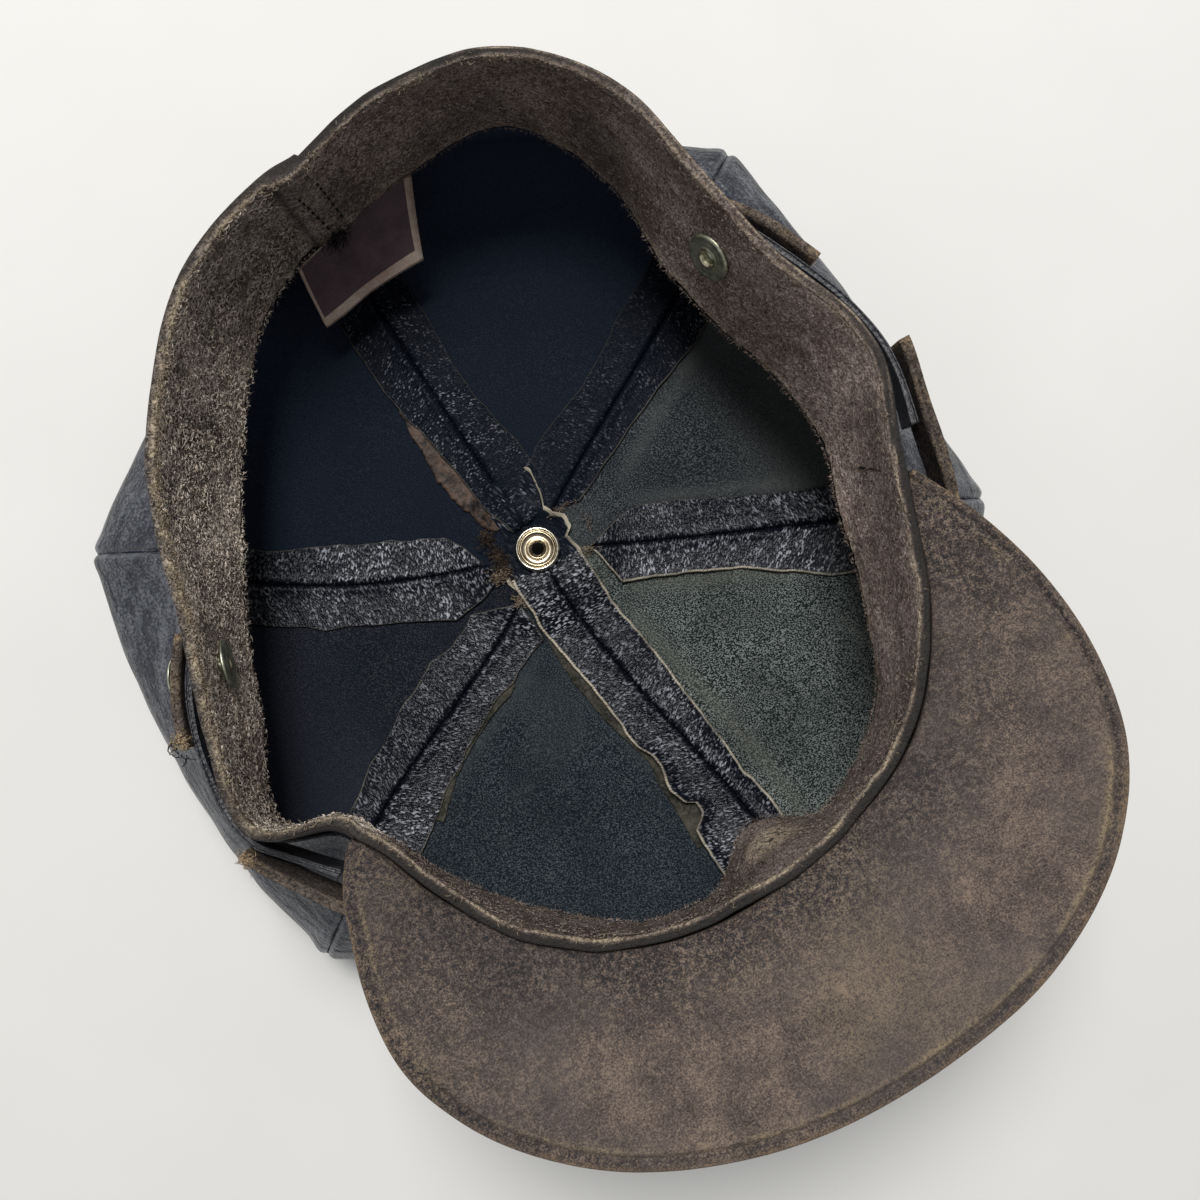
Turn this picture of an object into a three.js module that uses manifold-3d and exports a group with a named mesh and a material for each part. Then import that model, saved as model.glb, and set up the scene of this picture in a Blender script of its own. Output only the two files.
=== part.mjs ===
// A leather biker cap lying upside down on its crown, with the opening up and the peak to the front (-Y).
// Millimetres, +Z up. The modelling axis goes through the button in the middle of the crown, and the last
// lines shift the whole cap so that its origin is the middle of its box, on the surface that it lies on.
// An azimuth is in degrees about that axis: 0 is the front (-Y), 90 the +X side, 180 the back.
import * as THREE from "three";
import { mergeVertices } from "three/addons/utils/BufferGeometryUtils.js";
import Module from "manifold-3d";

const wasm = await Module();
wasm.setup();

// Driving dimensions
const GAP = 0.3; // between pieces that touch in the real cap
const BAND = { wall: 3.0, radius: 100, height: 44, rimHeight: 92, tilt: 4.5, bow: 1.2, stations: 72 };
const LAP = { outerEnd: 177.5, innerEnd: 183, shift: 1.2, ramp: 14, step: 0.12 };
const CROWN = { wall: 1.2, flap: 1.2, flapWidth: 11.5, flapEdge: 0.5, widest: 27, radius: 128, ease: 0.3 };
const PANEL_COLUMNS = 6; // between a panel's two seam allowances
const SHARPEST_TURN = 0.8; // how far the crown's wall follows its sharpest bends
const PEAK = { wall: 3.2, below: 1.6, rows: 5, columns: 34, steepest: 1.8 };
const STRAP = { wall: 3.0, width: 13, steps: 38 };
const STRIP = { wall: 2.2, width: 9, steps: 22 };
const TAB = { wall: 2.8, width: 14, steps: 8 };
const STRAP_LINE = 22.5; // the straps' middle line, below the rim
const RIVET_LINE = 20.5; // the rivets' middle, below the rim
const RIVET = { shank: 2.0, flange: 6.4, flangeHeight: 1.0, cap: 4.4, capHeight: 1.2, sides: 14 };
const RIVET_LEAN = 9; // how much further a rivet's disc leans towards the opening than the band does
const BUTTON = { radius: 11, height: 4.4, shank: 2.6, sides: 22 };
const SNAP = { outer: 6.8, bore: 2.9, base: 7.1, sides: 22 };
const LABEL = { wall: 1.0, start: 164.9, end: 187.3, skew: 3.2, columns: 10, rows: 3 };
const LABEL_SIDES = { right: { drop: 16, lean: 19 }, left: { drop: 20, lean: 10 } };

// The band, one row for each section: outer radius at the rim and inner radius at the edge in the crown.
const BAND_SECTIONS = [
  { azimuth: 0, rim: 98.9, low: 103.5 },
  { azimuth: 15, rim: 99.4, low: 103.2 },
  { azimuth: 30, rim: 100.1, low: 100.2 },
  { azimuth: 45, rim: 95.6, low: 90.2 },
  { azimuth: 60, rim: 90.4, low: 82.6 },
  { azimuth: 75, rim: 89.8, low: 82.4 },
  { azimuth: 90, rim: 91.6, low: 78.7 },
  { azimuth: 105, rim: 89.1, low: 76.2 },
  { azimuth: 120, rim: 95.4, low: 81.5 },
  { azimuth: 135, rim: 108.7, low: 99.5 },
  { azimuth: 150, rim: 115.7, low: 113.2 },
  { azimuth: 165, rim: 110.9, low: 106 },
  { azimuth: 180, rim: 104.8, low: 99.4 },
  { azimuth: 195, rim: 103.6, low: 95.6 },
  { azimuth: 210, rim: 97, low: 86.2 },
  { azimuth: 225, rim: 90, low: 80.3 },
  { azimuth: 240, rim: 84, low: 77.4 },
  { azimuth: 255, rim: 82.1, low: 79.7 },
  { azimuth: 270, rim: 86.1, low: 85 },
  { azimuth: 285, rim: 92.6, low: 97.8 },
  { azimuth: 300, rim: 78.5, low: 86.5 },
  { azimuth: 315, rim: 84.3, low: 90.5 },
  { azimuth: 330, rim: 92.6, low: 96.2 },
  { azimuth: 345, rim: 97.2, low: 103.2 },
];
// Folds of the band: the wall is pushed in (or out) round one azimuth, at the rim and at the lower edge.
const BAND_FOLDS = [
  { azimuth: 5, halfWidth: 11, rim: 0, low: -10.5 },
  { azimuth: 83, halfWidth: 15, rim: 2.2, low: 0 },
  { azimuth: 285, halfWidth: 5, rim: 0.6, low: 0.6 },
  { azimuth: 293.5, halfWidth: 7, rim: -3.8, low: -4.2 },
];

// The six seams of the crown: azimuth at the middle, half way and at the corner, and the corner's radius.
const SEAMS = [
  { centre: -7, middle: 4, corner: 4.5, radius: 130 },
  { centre: 60, middle: 62, corner: 63, radius: 128.5 },
  { centre: 127, middle: 118.8, corner: 120.5, radius: 124.8 },
  { centre: 181, middle: 181, corner: 180, radius: 126 },
  { centre: 256, middle: 247, corner: 238, radius: 125.1 },
  { centre: 314, middle: 297.5, corner: 300, radius: 130.6 },
];
// The six panels, each from one seam to the next: its place and how straight it spans between its corners.
const PANELS = [
  { name: "front_right", straight: 0.6 },
  { name: "right", straight: 0.8 },
  { name: "back_right", straight: 0.5 },
  { name: "back_left", straight: 0.85 },
  { name: "left", straight: 0.5 },
  { name: "front_left", straight: 0.6 },
];
// The crown's outside, one row for each section from the button out and up to the band. A radius is `round`
// plus a share of the six-cornered outline, and goes over to the band's own outline by the share `band`.
// A height is `lift` plus a share of the way from the widest section up to the band's lower edge.
const CROWN_SECTIONS = [
  { at: "hole", round: 4.6, corner: 0, band: 0, lift: 5, rise: 0, flap: 0.25 },
  { at: "button seat", round: 13, corner: 0, band: 0, lift: 5, rise: 0, flap: 1 },
  { at: "dimple", round: 21, corner: 0, band: 0, lift: 2.2, rise: 0, flap: 1 },
  { at: "rest begins", round: 30, corner: 0, band: 0, lift: 0, rise: 0, flap: 1 },
  { at: "rest", round: 0, corner: 0.48, band: 0, lift: 0, rise: 0, flap: 1 },
  { at: "rest ends", round: 0, corner: 0.72, band: 0, lift: 0, rise: 0, flap: 1 },
  { at: "turn", round: 0, corner: 0.86, band: 0, lift: 3.6, rise: 0, flap: 1 },
  { at: "side", round: 0, corner: 0.945, band: 0, lift: 10, rise: 0, flap: 1 },
  { at: "upper side", round: 0, corner: 0.988, band: 0, lift: 18, rise: 0, flap: 1 },
  { at: "widest", round: 0, corner: 1, band: 0, lift: 27, rise: 0, flap: 1 },
  { at: "shoulder", round: 0, corner: 0.99, band: 0.22, lift: 27, rise: 0.4, flap: 1 },
  { at: "upper", round: 0, corner: 0.98, band: 0.58, lift: 27, rise: 0.72, flap: 0.6 },
  { at: "neck", round: 0, corner: 0.98, band: 0.86, lift: 27, rise: 0.9, flap: 0 },
  { at: "join", round: 0, corner: 0, band: 1, lift: 28, rise: 1, flap: 0 },
  { at: "edge", round: 0, corner: 0, band: 1, lift: 36, rise: 1, flap: 0 },
];
// Soft folds of the crown's side below the band: how deep the leather goes in round one azimuth.
const CROWN_FOLDS = [
  { azimuth: 78, halfWidth: 7, depth: 4 },
  { azimuth: 104, halfWidth: 6, depth: 2.5 },
  { azimuth: 226, halfWidth: 7, depth: 3 },
  { azimuth: 262, halfWidth: 6, depth: 2.5 },
  { azimuth: 286, halfWidth: 6, depth: 3 },
  { azimuth: 332, halfWidth: 8, depth: 3 },
  { azimuth: 30, halfWidth: 8, depth: 3 },
];

// The peak, one row for each section: how far its edge reaches from the axis, and how high it rises.
const PEAK_SECTIONS = [
  { azimuth: -61.6, reach: 81.5, rise: 1.5 },
  { azimuth: -59.4, reach: 87.5, rise: 6 },
  { azimuth: -54.4, reach: 96.8, rise: 13 },
  { azimuth: -49.5, reach: 107.5, rise: 16.5 },
  { azimuth: -44.8, reach: 117, rise: 18 },
  { azimuth: -38, reach: 125.8, rise: 18.8 },
  { azimuth: -28, reach: 134.2, rise: 19 },
  { azimuth: -12, reach: 141.5, rise: 18.5 },
  { azimuth: 6, reach: 145.6, rise: 17.5 },
  { azimuth: 19, reach: 147.6, rise: 17 },
  { azimuth: 30, reach: 145, rise: 16 },
  { azimuth: 38, reach: 138.8, rise: 14.5 },
  { azimuth: 45, reach: 128.6, rise: 12.5 },
  { azimuth: 52, reach: 116.6, rise: 9.5 },
  { azimuth: 58.5, reach: 104.6, rise: 6 },
  { azimuth: 63.5, reach: 95.4, rise: 3 },
  { azimuth: 66, reach: 91.4, rise: 1 },
];
// The outer faces of the straps, which stand off the band where their radius is larger than the band's.
const FRONT_STRAP_SECTIONS = [
  { azimuth: -74.5, radius: 104.2 },
  { azimuth: -66, radius: 102.2 },
  { azimuth: -58, radius: 100.5 },
  { azimuth: -40, radius: 102.5 },
  { azimuth: -20, radius: 107.5 },
  { azimuth: 0, radius: 109.5 },
  { azimuth: 20, radius: 110.5 },
  { azimuth: 45, radius: 108 },
  { azimuth: 62, radius: 105.8 },
  { azimuth: 73, radius: 103.9 },
  { azimuth: 84.5, radius: 105.8 },
];
// The strips lean with the band by the share `lean`.
const STRIPS = [
  {
    side: "right",
    sections: [
      { azimuth: 73, radius: 100.2, lean: 0 },
      { azimuth: 84.5, radius: 101.2, lean: 0 },
      { azimuth: 93, radius: 98.8, lean: 0.5 },
      { azimuth: 103, radius: 95.4, lean: 1 },
      { azimuth: 113, radius: 93.6, lean: 1 },
      { azimuth: 119, radius: 91, lean: 1 },
    ],
  },
  {
    side: "left",
    sections: [
      { azimuth: -108, radius: 85.5, lean: 1 },
      { azimuth: -99, radius: 91.4, lean: 1 },
      { azimuth: -86, radius: 97.6, lean: 0.3 },
      { azimuth: -78, radius: 100.6, lean: 0 },
      { azimuth: -74, radius: 100.6, lean: 0 },
      { azimuth: -70, radius: 98, lean: 0 },
      { azimuth: -61.5, radius: 93.8, lean: 0 },
    ],
  },
];
// The tabs over the strips' rear ends, each held by a rivet through the band.
const TABS = [
  { side: "right", start: 100.5, end: 119, rivet: 113.4 },
  { side: "left", start: -107.5, end: -91, rivet: -100.3 },
];

const radians = THREE.MathUtils.degToRad;
const lerp = THREE.MathUtils.lerp;
const smooth = (x) => THREE.MathUtils.smoothstep(x, 0, 1);

// The point at an azimuth, a distance from the axis and a height.
function at(azimuth, radius, height) {
  const angle = radians(azimuth);
  return new THREE.Vector3(radius * Math.sin(angle), -radius * Math.cos(angle), height);
}

// A smooth hump of height 1 round one azimuth.
function hump(azimuth, fold) {
  const away = Math.abs(((azimuth - fold.azimuth + 540) % 360) - 180);
  return away < fold.halfWidth ? Math.cos((Math.PI / 2) * (away / fold.halfWidth)) ** 2 : 0;
}

// A smooth curve through the values p0 to p3, between p1 and p2.
function catmullRom(p0, p1, p2, p3, t) {
  const bend = 2 * p0 - 5 * p1 + 4 * p2 - p3 + (3 * p1 - p0 - 3 * p2 + p3) * t;
  return p1 + 0.5 * t * (p2 - p0 + t * bend);
}

// One column of a table of evenly spaced sections round the whole axis.
function roundValue(table, column, azimuth) {
  const count = table.length;
  const place = ((((azimuth % 360) + 360) % 360) * count) / 360;
  const i = Math.floor(place);
  const value = (k) => table[(i + k + count) % count][column];
  return catmullRom(value(-1), value(0), value(1), value(2), place - i);
}

// One column of a table whose sections go from one end to the other.
function openValue(table, column, azimuth) {
  let i = 0;
  while (i < table.length - 2 && azimuth > table[i + 1].azimuth) i += 1;
  const value = (k) => table[THREE.MathUtils.clamp(i + k, 0, table.length - 1)][column];
  const share = (azimuth - table[i].azimuth) / (table[i + 1].azimuth - table[i].azimuth);
  return catmullRom(value(-1), value(0), value(1), value(2), THREE.MathUtils.clamp(share, 0, 1));
}

// The band's surfaces. `share` is 0 at the lower edge and 1 at the rim.
function bandFold(azimuth, column) {
  return BAND_FOLDS.reduce((sum, fold) => sum + fold[column] * hump(azimuth, fold), 0);
}

function rimHeight(azimuth) {
  const radius = roundValue(BAND_SECTIONS, "rim", azimuth);
  return BAND.rimHeight + radius * Math.cos(radians(azimuth)) * Math.sin(radians(BAND.tilt));
}

function bandHeight(azimuth, share) {
  return rimHeight(azimuth) - BAND.height * (1 - share);
}

function bandInner(azimuth, share) {
  const low = roundValue(BAND_SECTIONS, "low", azimuth) + bandFold(azimuth, "low");
  const rim = roundValue(BAND_SECTIONS, "rim", azimuth) + bandFold(azimuth, "rim") - BAND.wall;
  return lerp(low, rim, share) + BAND.bow * Math.sin(Math.PI * share);
}

// How far the two ends of the strip are shifted apart at the lap in the back: the end that comes from the
// right lies inside, the other outside.
function lapShift(azimuth, switchAt) {
  const turn = ((azimuth % 360) + 360) % 360;
  const middle = (LAP.outerEnd + LAP.innerEnd) / 2;
  const near = smooth(1 - Math.abs(turn - middle) / LAP.ramp);
  return turn < switchAt ? -LAP.shift * near : LAP.shift * near;
}

function bandFaces(azimuth, share) {
  const inner = bandInner(azimuth, share);
  return {
    inside: inner + lapShift(azimuth, LAP.innerEnd),
    outside: inner + BAND.wall + lapShift(azimuth, LAP.outerEnd),
  };
}

// A closed solid between two grids of points, which have the same number of rows and columns. `loop` joins
// the last row to the first.
function shell(front, back, loop = false) {
  const rows = front.length;
  const columns = front[0].length;
  const corners = [];
  const quad = (a, b, c, d) => corners.push(a, b, c, a, c, d);
  const steps = loop ? rows : rows - 1;
  for (let i = 0; i < steps; i += 1) {
    const next = (i + 1) % rows;
    for (let j = 0; j < columns - 1; j += 1) {
      quad(front[i][j], front[next][j], front[next][j + 1], front[i][j + 1]);
      quad(back[i][j], back[i][j + 1], back[next][j + 1], back[next][j]);
    }
    const end = columns - 1;
    quad(front[i][0], back[i][0], back[next][0], front[next][0]);
    quad(front[i][end], front[next][end], back[next][end], back[i][end]);
  }
  if (!loop) {
    const last = rows - 1;
    for (let j = 0; j < columns - 1; j += 1) {
      quad(front[0][j], front[0][j + 1], back[0][j + 1], back[0][j]);
      quad(front[last][j], back[last][j], back[last][j + 1], front[last][j + 1]);
    }
  }
  const geometry = new THREE.BufferGeometry().setFromPoints(corners);
  return faceOut(geometry);
}

// Turns every triangle round if the solid is inside out.
function faceOut(geometry) {
  const points = geometry.getAttribute("position");
  const [a, b, c] = [new THREE.Vector3(), new THREE.Vector3(), new THREE.Vector3()];
  let volume = 0;
  for (let i = 0; i < points.count; i += 3) {
    a.fromBufferAttribute(points, i);
    b.fromBufferAttribute(points, i + 1);
    c.fromBufferAttribute(points, i + 2);
    volume += a.dot(b.clone().cross(c));
  }
  if (volume < 0) {
    for (let i = 0; i < points.count; i += 3) {
      b.fromBufferAttribute(points, i + 1);
      c.fromBufferAttribute(points, i + 2);
      points.setXYZ(i + 1, c.x, c.y, c.z);
      points.setXYZ(i + 2, b.x, b.y, b.z);
    }
  }
  return geometry;
}

// A geometry as a manifold-3d solid, and back.
function toSolid(geometry) {
  const plain = geometry.clone();
  plain.deleteAttribute("normal");
  plain.deleteAttribute("uv");
  const merged = mergeVertices(plain, 1e-3);
  const vertProperties = merged.getAttribute("position").array;
  return new wasm.Manifold(new wasm.Mesh({ numProp: 3, vertProperties, triVerts: merged.index.array }));
}

function fromSolid(solid) {
  const mesh = solid.getMesh();
  const geometry = new THREE.BufferGeometry();
  geometry.setAttribute("position", new THREE.BufferAttribute(mesh.vertProperties, 3));
  geometry.setIndex(new THREE.BufferAttribute(mesh.triVerts, 1));
  return geometry;
}

function leather(color, roughness) {
  return new THREE.MeshStandardMaterial({ color, roughness, metalness: 0 });
}
const BROWN = leather(0x4a3a2e, 0.85);
const BLACK = leather(0x1b1e26, 0.5);
const LABEL_CLOTH = leather(0x35201f, 0.7);
const STEEL = new THREE.MeshStandardMaterial({ color: 0xb9b2a2, roughness: 0.3, metalness: 1 });
const BRASS = new THREE.MeshStandardMaterial({ color: 0x6d6a48, roughness: 0.5, metalness: 1 });

function piece(name, geometry, material) {
  const flat = geometry.index ? geometry.toNonIndexed() : geometry;
  flat.computeVertexNormals();
  const mesh = new THREE.Mesh(flat, material);
  mesh.name = name;
  return mesh;
}

// The azimuths of the band's stations: even steps, and a pair of stations at each end of the lap.
function bandStations() {
  const stations = Array.from({ length: BAND.stations }, (_, i) => (i * 360) / BAND.stations);
  for (const end of [LAP.outerEnd, LAP.innerEnd]) stations.push(end - LAP.step, end + LAP.step);
  return stations.sort((a, b) => a - b).filter((a, i, all) => i === 0 || a - all[i - 1] > LAP.step);
}

// The band, or with `room` the space that its neighbours stay out of.
function bandGeometry(room = 0) {
  const shares = [0, 0.3, 0.65, 1];
  const inside = [];
  const outside = [];
  for (const azimuth of bandStations()) {
    const place = (share, face, side) => {
      const height = bandHeight(azimuth, share) + room * Math.sign(share - 0.5);
      return at(azimuth, bandFaces(azimuth, share)[face] + side * room, height);
    };
    inside.push(shares.map((share) => place(share, "inside", -1)));
    outside.push(shares.map((share) => place(share, "outside", 1)));
  }
  return shell(inside, outside, true);
}

// The same solid kept clear of the band all round.
function besideBand(geometry) {
  return fromSolid(toSolid(geometry).subtract(toSolid(bandGeometry(GAP))));
}

// The azimuth of a seam at a share of the way from the axis to its corner.
function seamAzimuth(seam, share) {
  const inward = 2 * (share - 0.5) * (share - 1) * seam.centre;
  const between = 4 * share * (1 - share) * seam.middle;
  return inward + between + 2 * share * (share - 0.5) * seam.corner;
}

// The crown's outline at a share of the way between two seams, from straight (1) to round (0).
function outlineRadius(share, from, to, straight) {
  const whole = radians(to.corner - from.corner);
  const part = whole * share;
  const chord =
    (from.radius * to.radius * Math.sin(whole)) /
    (from.radius * Math.sin(part) + to.radius * Math.sin(whole - part));
  return lerp(lerp(from.radius, to.radius, share), chord, straight);
}

function crownFold(azimuth, section) {
  const strength = section.band * (1 - section.band) * 4;
  return strength * CROWN_FOLDS.reduce((sum, fold) => sum + fold.depth * hump(azimuth, fold), 0);
}

// The crown's outside at one section and azimuth, as a distance from the axis and a height.
function crownOutside(section, azimuth, outline) {
  const low = bandHeight(azimuth, 0);
  const height = section.lift + section.rise * (low - CROWN.widest);
  const share = Math.max(0, height - low) / BAND.height;
  const neck = bandFaces(azimuth, share).outside + GAP + CROWN.ease + CROWN.wall;
  const free = section.round + section.corner * outline;
  const radius = lerp(free, neck, section.band) - crownFold(azimuth, section);
  return new THREE.Vector2(radius, height);
}

function panelGeometry(panel, from, to) {
  const inside = [];
  const outside = [];
  CROWN_SECTIONS.forEach((section, row) => {
    const share = section.band > 0 ? 1 : section.corner + section.round / CROWN.radius;
    const reach = lerp(section.round + section.corner * CROWN.radius, BAND.radius, section.band);
    const clear = THREE.MathUtils.radToDeg(GAP / 2 / reach);
    const start = seamAzimuth(from, share) + clear;
    const end = seamAzimuth(to, share) - clear;
    const degree = radians(1) * reach;
    const flap = Math.min(CROWN.flapWidth / degree, 0.4 * (end - start));
    const edge = CROWN.flapEdge / degree;
    const columns = [
      { azimuth: start, flap: 1 },
      { azimuth: start + flap / 2, flap: 1 },
      { azimuth: start + flap, flap: 1 },
    ];
    for (let i = 0; i <= PANEL_COLUMNS; i += 1) {
      const azimuth = lerp(start + flap + edge, end - flap - edge, i / PANEL_COLUMNS);
      columns.push({ azimuth, flap: 0 });
    }
    columns.push({ azimuth: end - flap, flap: 1 });
    columns.push({ azimuth: end - flap / 2, flap: 1 });
    columns.push({ azimuth: end, flap: 1 });
    const outer = [];
    const inner = [];
    for (const column of columns) {
      const profile = (k) => {
        const other = CROWN_SECTIONS[THREE.MathUtils.clamp(k, 0, CROWN_SECTIONS.length - 1)];
        const between = (column.azimuth - start) / (end - start);
        const outline = outlineRadius(between, from, to, panel.straight);
        return crownOutside(other, column.azimuth, outline);
      };
      const here = profile(row);
      const before = here.clone().sub(profile(row - 1)).normalize();
      const after = profile(row + 1).sub(here).normalize();
      const run = before.add(after).normalize();
      const wall = CROWN.wall + CROWN.flap * column.flap * section.flap;
      const depth = wall / Math.max(SHARPEST_TURN, run.dot(after));
      outer.push(at(column.azimuth, here.x, here.y));
      inner.push(at(column.azimuth, here.x - run.y * depth, here.y + run.x * depth));
    }
    outside.push(outer);
    inside.push(inner);
  });
  return shell(inside, outside);
}

// The band's outside at a real height.
function bandOutside(azimuth, height) {
  return bandFaces(azimuth, (height - bandHeight(azimuth, 0)) / BAND.height).outside;
}

// The peak's face that shows when the cap lies upside down, at an azimuth and a share of its depth.
function peakFace(azimuth, share) {
  const reach = openValue(PEAK_SECTIONS, "reach", azimuth);
  const rise = openValue(PEAK_SECTIONS, "rise", azimuth);
  const height = rimHeight(azimuth) - PEAK.below + rise * lerp(share, Math.sin((Math.PI / 2) * share), 0.5);
  return at(azimuth, lerp(bandOutside(azimuth, height) + GAP, reach, share), height);
}

function peakGeometry() {
  const upper = [];
  const lower = [];
  for (let i = 0; i <= PEAK.columns; i += 1) {
    const azimuth = lerp(PEAK_SECTIONS[0].azimuth, PEAK_SECTIONS.at(-1).azimuth, i / PEAK.columns);
    const face = Array.from({ length: PEAK.rows + 1 }, (_, j) => peakFace(azimuth, j / PEAK.rows));
    const slope = face.at(-1).clone().sub(face[0]);
    const steepness = slope.length() / Math.max(Math.hypot(slope.x, slope.y), 1);
    const down = PEAK.wall * Math.min(steepness, PEAK.steepest);
    upper.push(face);
    lower.push(face.map((point) => point.clone().setZ(point.z - down)));
  }
  return shell(upper, lower);
}

function strapHeight(azimuth) {
  return rimHeight(azimuth) - STRAP_LINE;
}

// A strap that stands on its edge round the band: `inner` gives its inner face at an azimuth and a height.
function strapGeometry(start, end, inner, size) {
  const outside = [];
  const inside = [];
  for (let i = 0; i <= size.steps; i += 1) {
    const azimuth = lerp(start, end, i / size.steps);
    const heights = [-0.5, 0, 0.5].map((share) => strapHeight(azimuth) + share * size.width);
    outside.push(heights.map((height) => at(azimuth, inner(azimuth, height) + size.wall, height)));
    inside.push(heights.map((height) => at(azimuth, inner(azimuth, height), height)));
  }
  return shell(outside, inside);
}

// The inner face of a strip, which leans with the band, kept clear of the band's outside.
function stripInner(strip, azimuth, height) {
  const band = bandOutside(azimuth, height);
  const lean = openValue(strip.sections, "lean", azimuth) * (band - bandOutside(azimuth, strapHeight(azimuth)));
  return Math.max(openValue(strip.sections, "radius", azimuth) - STRIP.wall + lean, band + GAP);
}

function overStrip(strip, azimuth, height) {
  return stripInner(strip, azimuth, height) + STRIP.wall + GAP;
}

// The inner face of the front strap, kept clear of the band's outside and of the strips' ends under it.
function frontStrapInner(azimuth, height) {
  const free = openValue(FRONT_STRAP_SECTIONS, "radius", azimuth) - STRAP.wall;
  const under = STRIPS.filter(({ sections: rows }) => azimuth > rows[0].azimuth && azimuth < rows.at(-1).azimuth);
  const strips = under.map((strip) => overStrip(strip, azimuth, height));
  return Math.max(free, bandOutside(azimuth, height) + GAP, ...strips);
}

// The place of a face at an azimuth and height, and the direction square to it that points outward.
function facing(radiusAt, azimuth, height) {
  const point = (turn, up) => at(azimuth + turn, radiusAt(azimuth + turn, height + up), height + up);
  const [turnStep, upStep] = [2, 4];
  const along = point(turnStep, 0).sub(point(-turnStep, 0));
  const up = point(0, upStep).sub(point(0, -upStep));
  return { place: point(0, 0), outward: along.cross(up).normalize() };
}

// The matrix that stands a turned piece, whose axis is Y, on a place with its axis along a direction.
function standing(place, direction) {
  const turn = new THREE.Quaternion().setFromUnitVectors(new THREE.Vector3(0, 1, 0), direction);
  return new THREE.Matrix4().compose(place, turn, new THREE.Vector3(1, 1, 1));
}

function bandInsideAt(azimuth, height) {
  return bandFaces(azimuth, (height - bandHeight(azimuth, 0)) / BAND.height).inside;
}

// Where a rivet starts on the band's inside, and its direction: outward, and down by its lean.
function rivetAxis(azimuth) {
  const { place, outward } = facing(bandInsideAt, azimuth, rimHeight(azimuth) - RIVET_LINE);
  const level = new THREE.Vector3(-outward.y, outward.x, 0).normalize();
  return { place, direction: outward.applyAxisAngle(level, radians(RIVET_LEAN)) };
}

function turned(profile, segments) {
  return new THREE.LatheGeometry(profile.map(([x, y]) => new THREE.Vector2(x, y)), segments);
}

// A rivet: the disc on the band's inside and the shank lie along its axis, the cap lies on the tab's outside.
function rivetGeometry(strip, azimuth) {
  const { place, direction } = rivetAxis(azimuth);
  const outside = (turn, height) => overStrip(strip, turn, height) + TAB.wall;
  const radial = at(azimuth, 1, 0);
  const reach = (outside(azimuth, place.z) - Math.hypot(place.x, place.y)) / direction.dot(radial);
  const end = place.clone().addScaledVector(direction, reach);
  const face = facing(outside, azimuth, end.z);
  const seat = GAP + RIVET.flange * Math.sin(radians(RIVET_LEAN));
  const back = -seat - RIVET.flangeHeight;
  const body = turned(
    [
      [0, back + 0.5],
      [0.6 * RIVET.shank, back + 0.3],
      [1.1 * RIVET.shank, back - 0.2],
      [RIVET.flange - 0.5, back + 0.3],
      [RIVET.flange, back + 0.7],
      [RIVET.flange - 0.2, -seat],
      [RIVET.shank, -seat],
      [RIVET.shank, reach + RIVET.capHeight],
      [0, reach + RIVET.capHeight],
    ],
    RIVET.sides,
  ).applyMatrix4(standing(place, direction));
  const cap = turned(
    [
      [0, GAP],
      [RIVET.cap, GAP],
      [0.9 * RIVET.cap, GAP + 0.6 * RIVET.capHeight],
      [0.6 * RIVET.cap, GAP + RIVET.capHeight],
      [0, GAP + 1.2 * RIVET.capHeight],
    ],
    RIVET.sides,
  ).applyMatrix4(standing(face.place, face.outward));
  return fromSolid(toSolid(body).add(toSolid(cap)));
}

// The same solid with a round hole for a rivet through it.
function pierced(geometry, azimuth) {
  const { place, direction } = rivetAxis(azimuth);
  const radius = RIVET.shank + GAP;
  const drill = new THREE.CylinderGeometry(radius, radius, BAND.height, RIVET.sides);
  drill.applyMatrix4(standing(place, direction));
  return fromSolid(toSolid(geometry).subtract(toSolid(drill)));
}

function buttonGeometry() {
  const top = GAP + BUTTON.height;
  return turned(
    [
      [0, GAP],
      [0.45 * BUTTON.radius, GAP + 0.15],
      [0.78 * BUTTON.radius, GAP + 0.9],
      [0.96 * BUTTON.radius, GAP + 2.4],
      [BUTTON.radius, GAP + 3.6],
      [0.96 * BUTTON.radius, top],
      [BUTTON.shank, top],
      [BUTTON.shank, SNAP.base + 1.2],
      [0, SNAP.base + 0.9],
    ],
    BUTTON.sides,
  ).rotateX(Math.PI / 2);
}

function snapGeometry() {
  const base = SNAP.base;
  return turned(
    [
      [SNAP.bore, base],
      [SNAP.outer - 0.4, base],
      [SNAP.outer, base + 0.6],
      [SNAP.outer - 0.2, base + 1.5],
      [SNAP.outer - 1.0, base + 2.1],
      [SNAP.outer - 1.9, base + 1.6],
      [SNAP.bore + 0.9, base + 1.8],
      [SNAP.bore, base + 1.3],
      [SNAP.bore, base],
    ],
    SNAP.sides,
  ).rotateX(Math.PI / 2);
}

// The label hangs from the band's lower edge at the back and leans into the crown.
function labelGeometry() {
  const face = [];
  const back = [];
  for (let i = 0; i <= LABEL.columns; i += 1) {
    const across = i / LABEL.columns;
    const azimuth = lerp(LABEL.start, LABEL.end, across);
    const lean = lerp(LABEL_SIDES.right.lean, LABEL_SIDES.left.lean, across);
    const drop = lerp(LABEL_SIDES.right.drop, LABEL_SIDES.left.drop, across);
    const place = (j, depth) => {
      const share = j / LABEL.rows;
      const radius = bandFaces(azimuth, 0).inside + LABEL.wall - lean * share + depth;
      return at(azimuth + LABEL.skew * share, radius, bandHeight(azimuth, 0) - GAP - drop * share);
    };
    const rows = Array.from({ length: LABEL.rows + 1 }, (_, j) => j);
    face.push(rows.map((j) => place(j, 0)));
    back.push(rows.map((j) => place(j, LABEL.wall)));
  }
  return shell(face, back);
}

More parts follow.
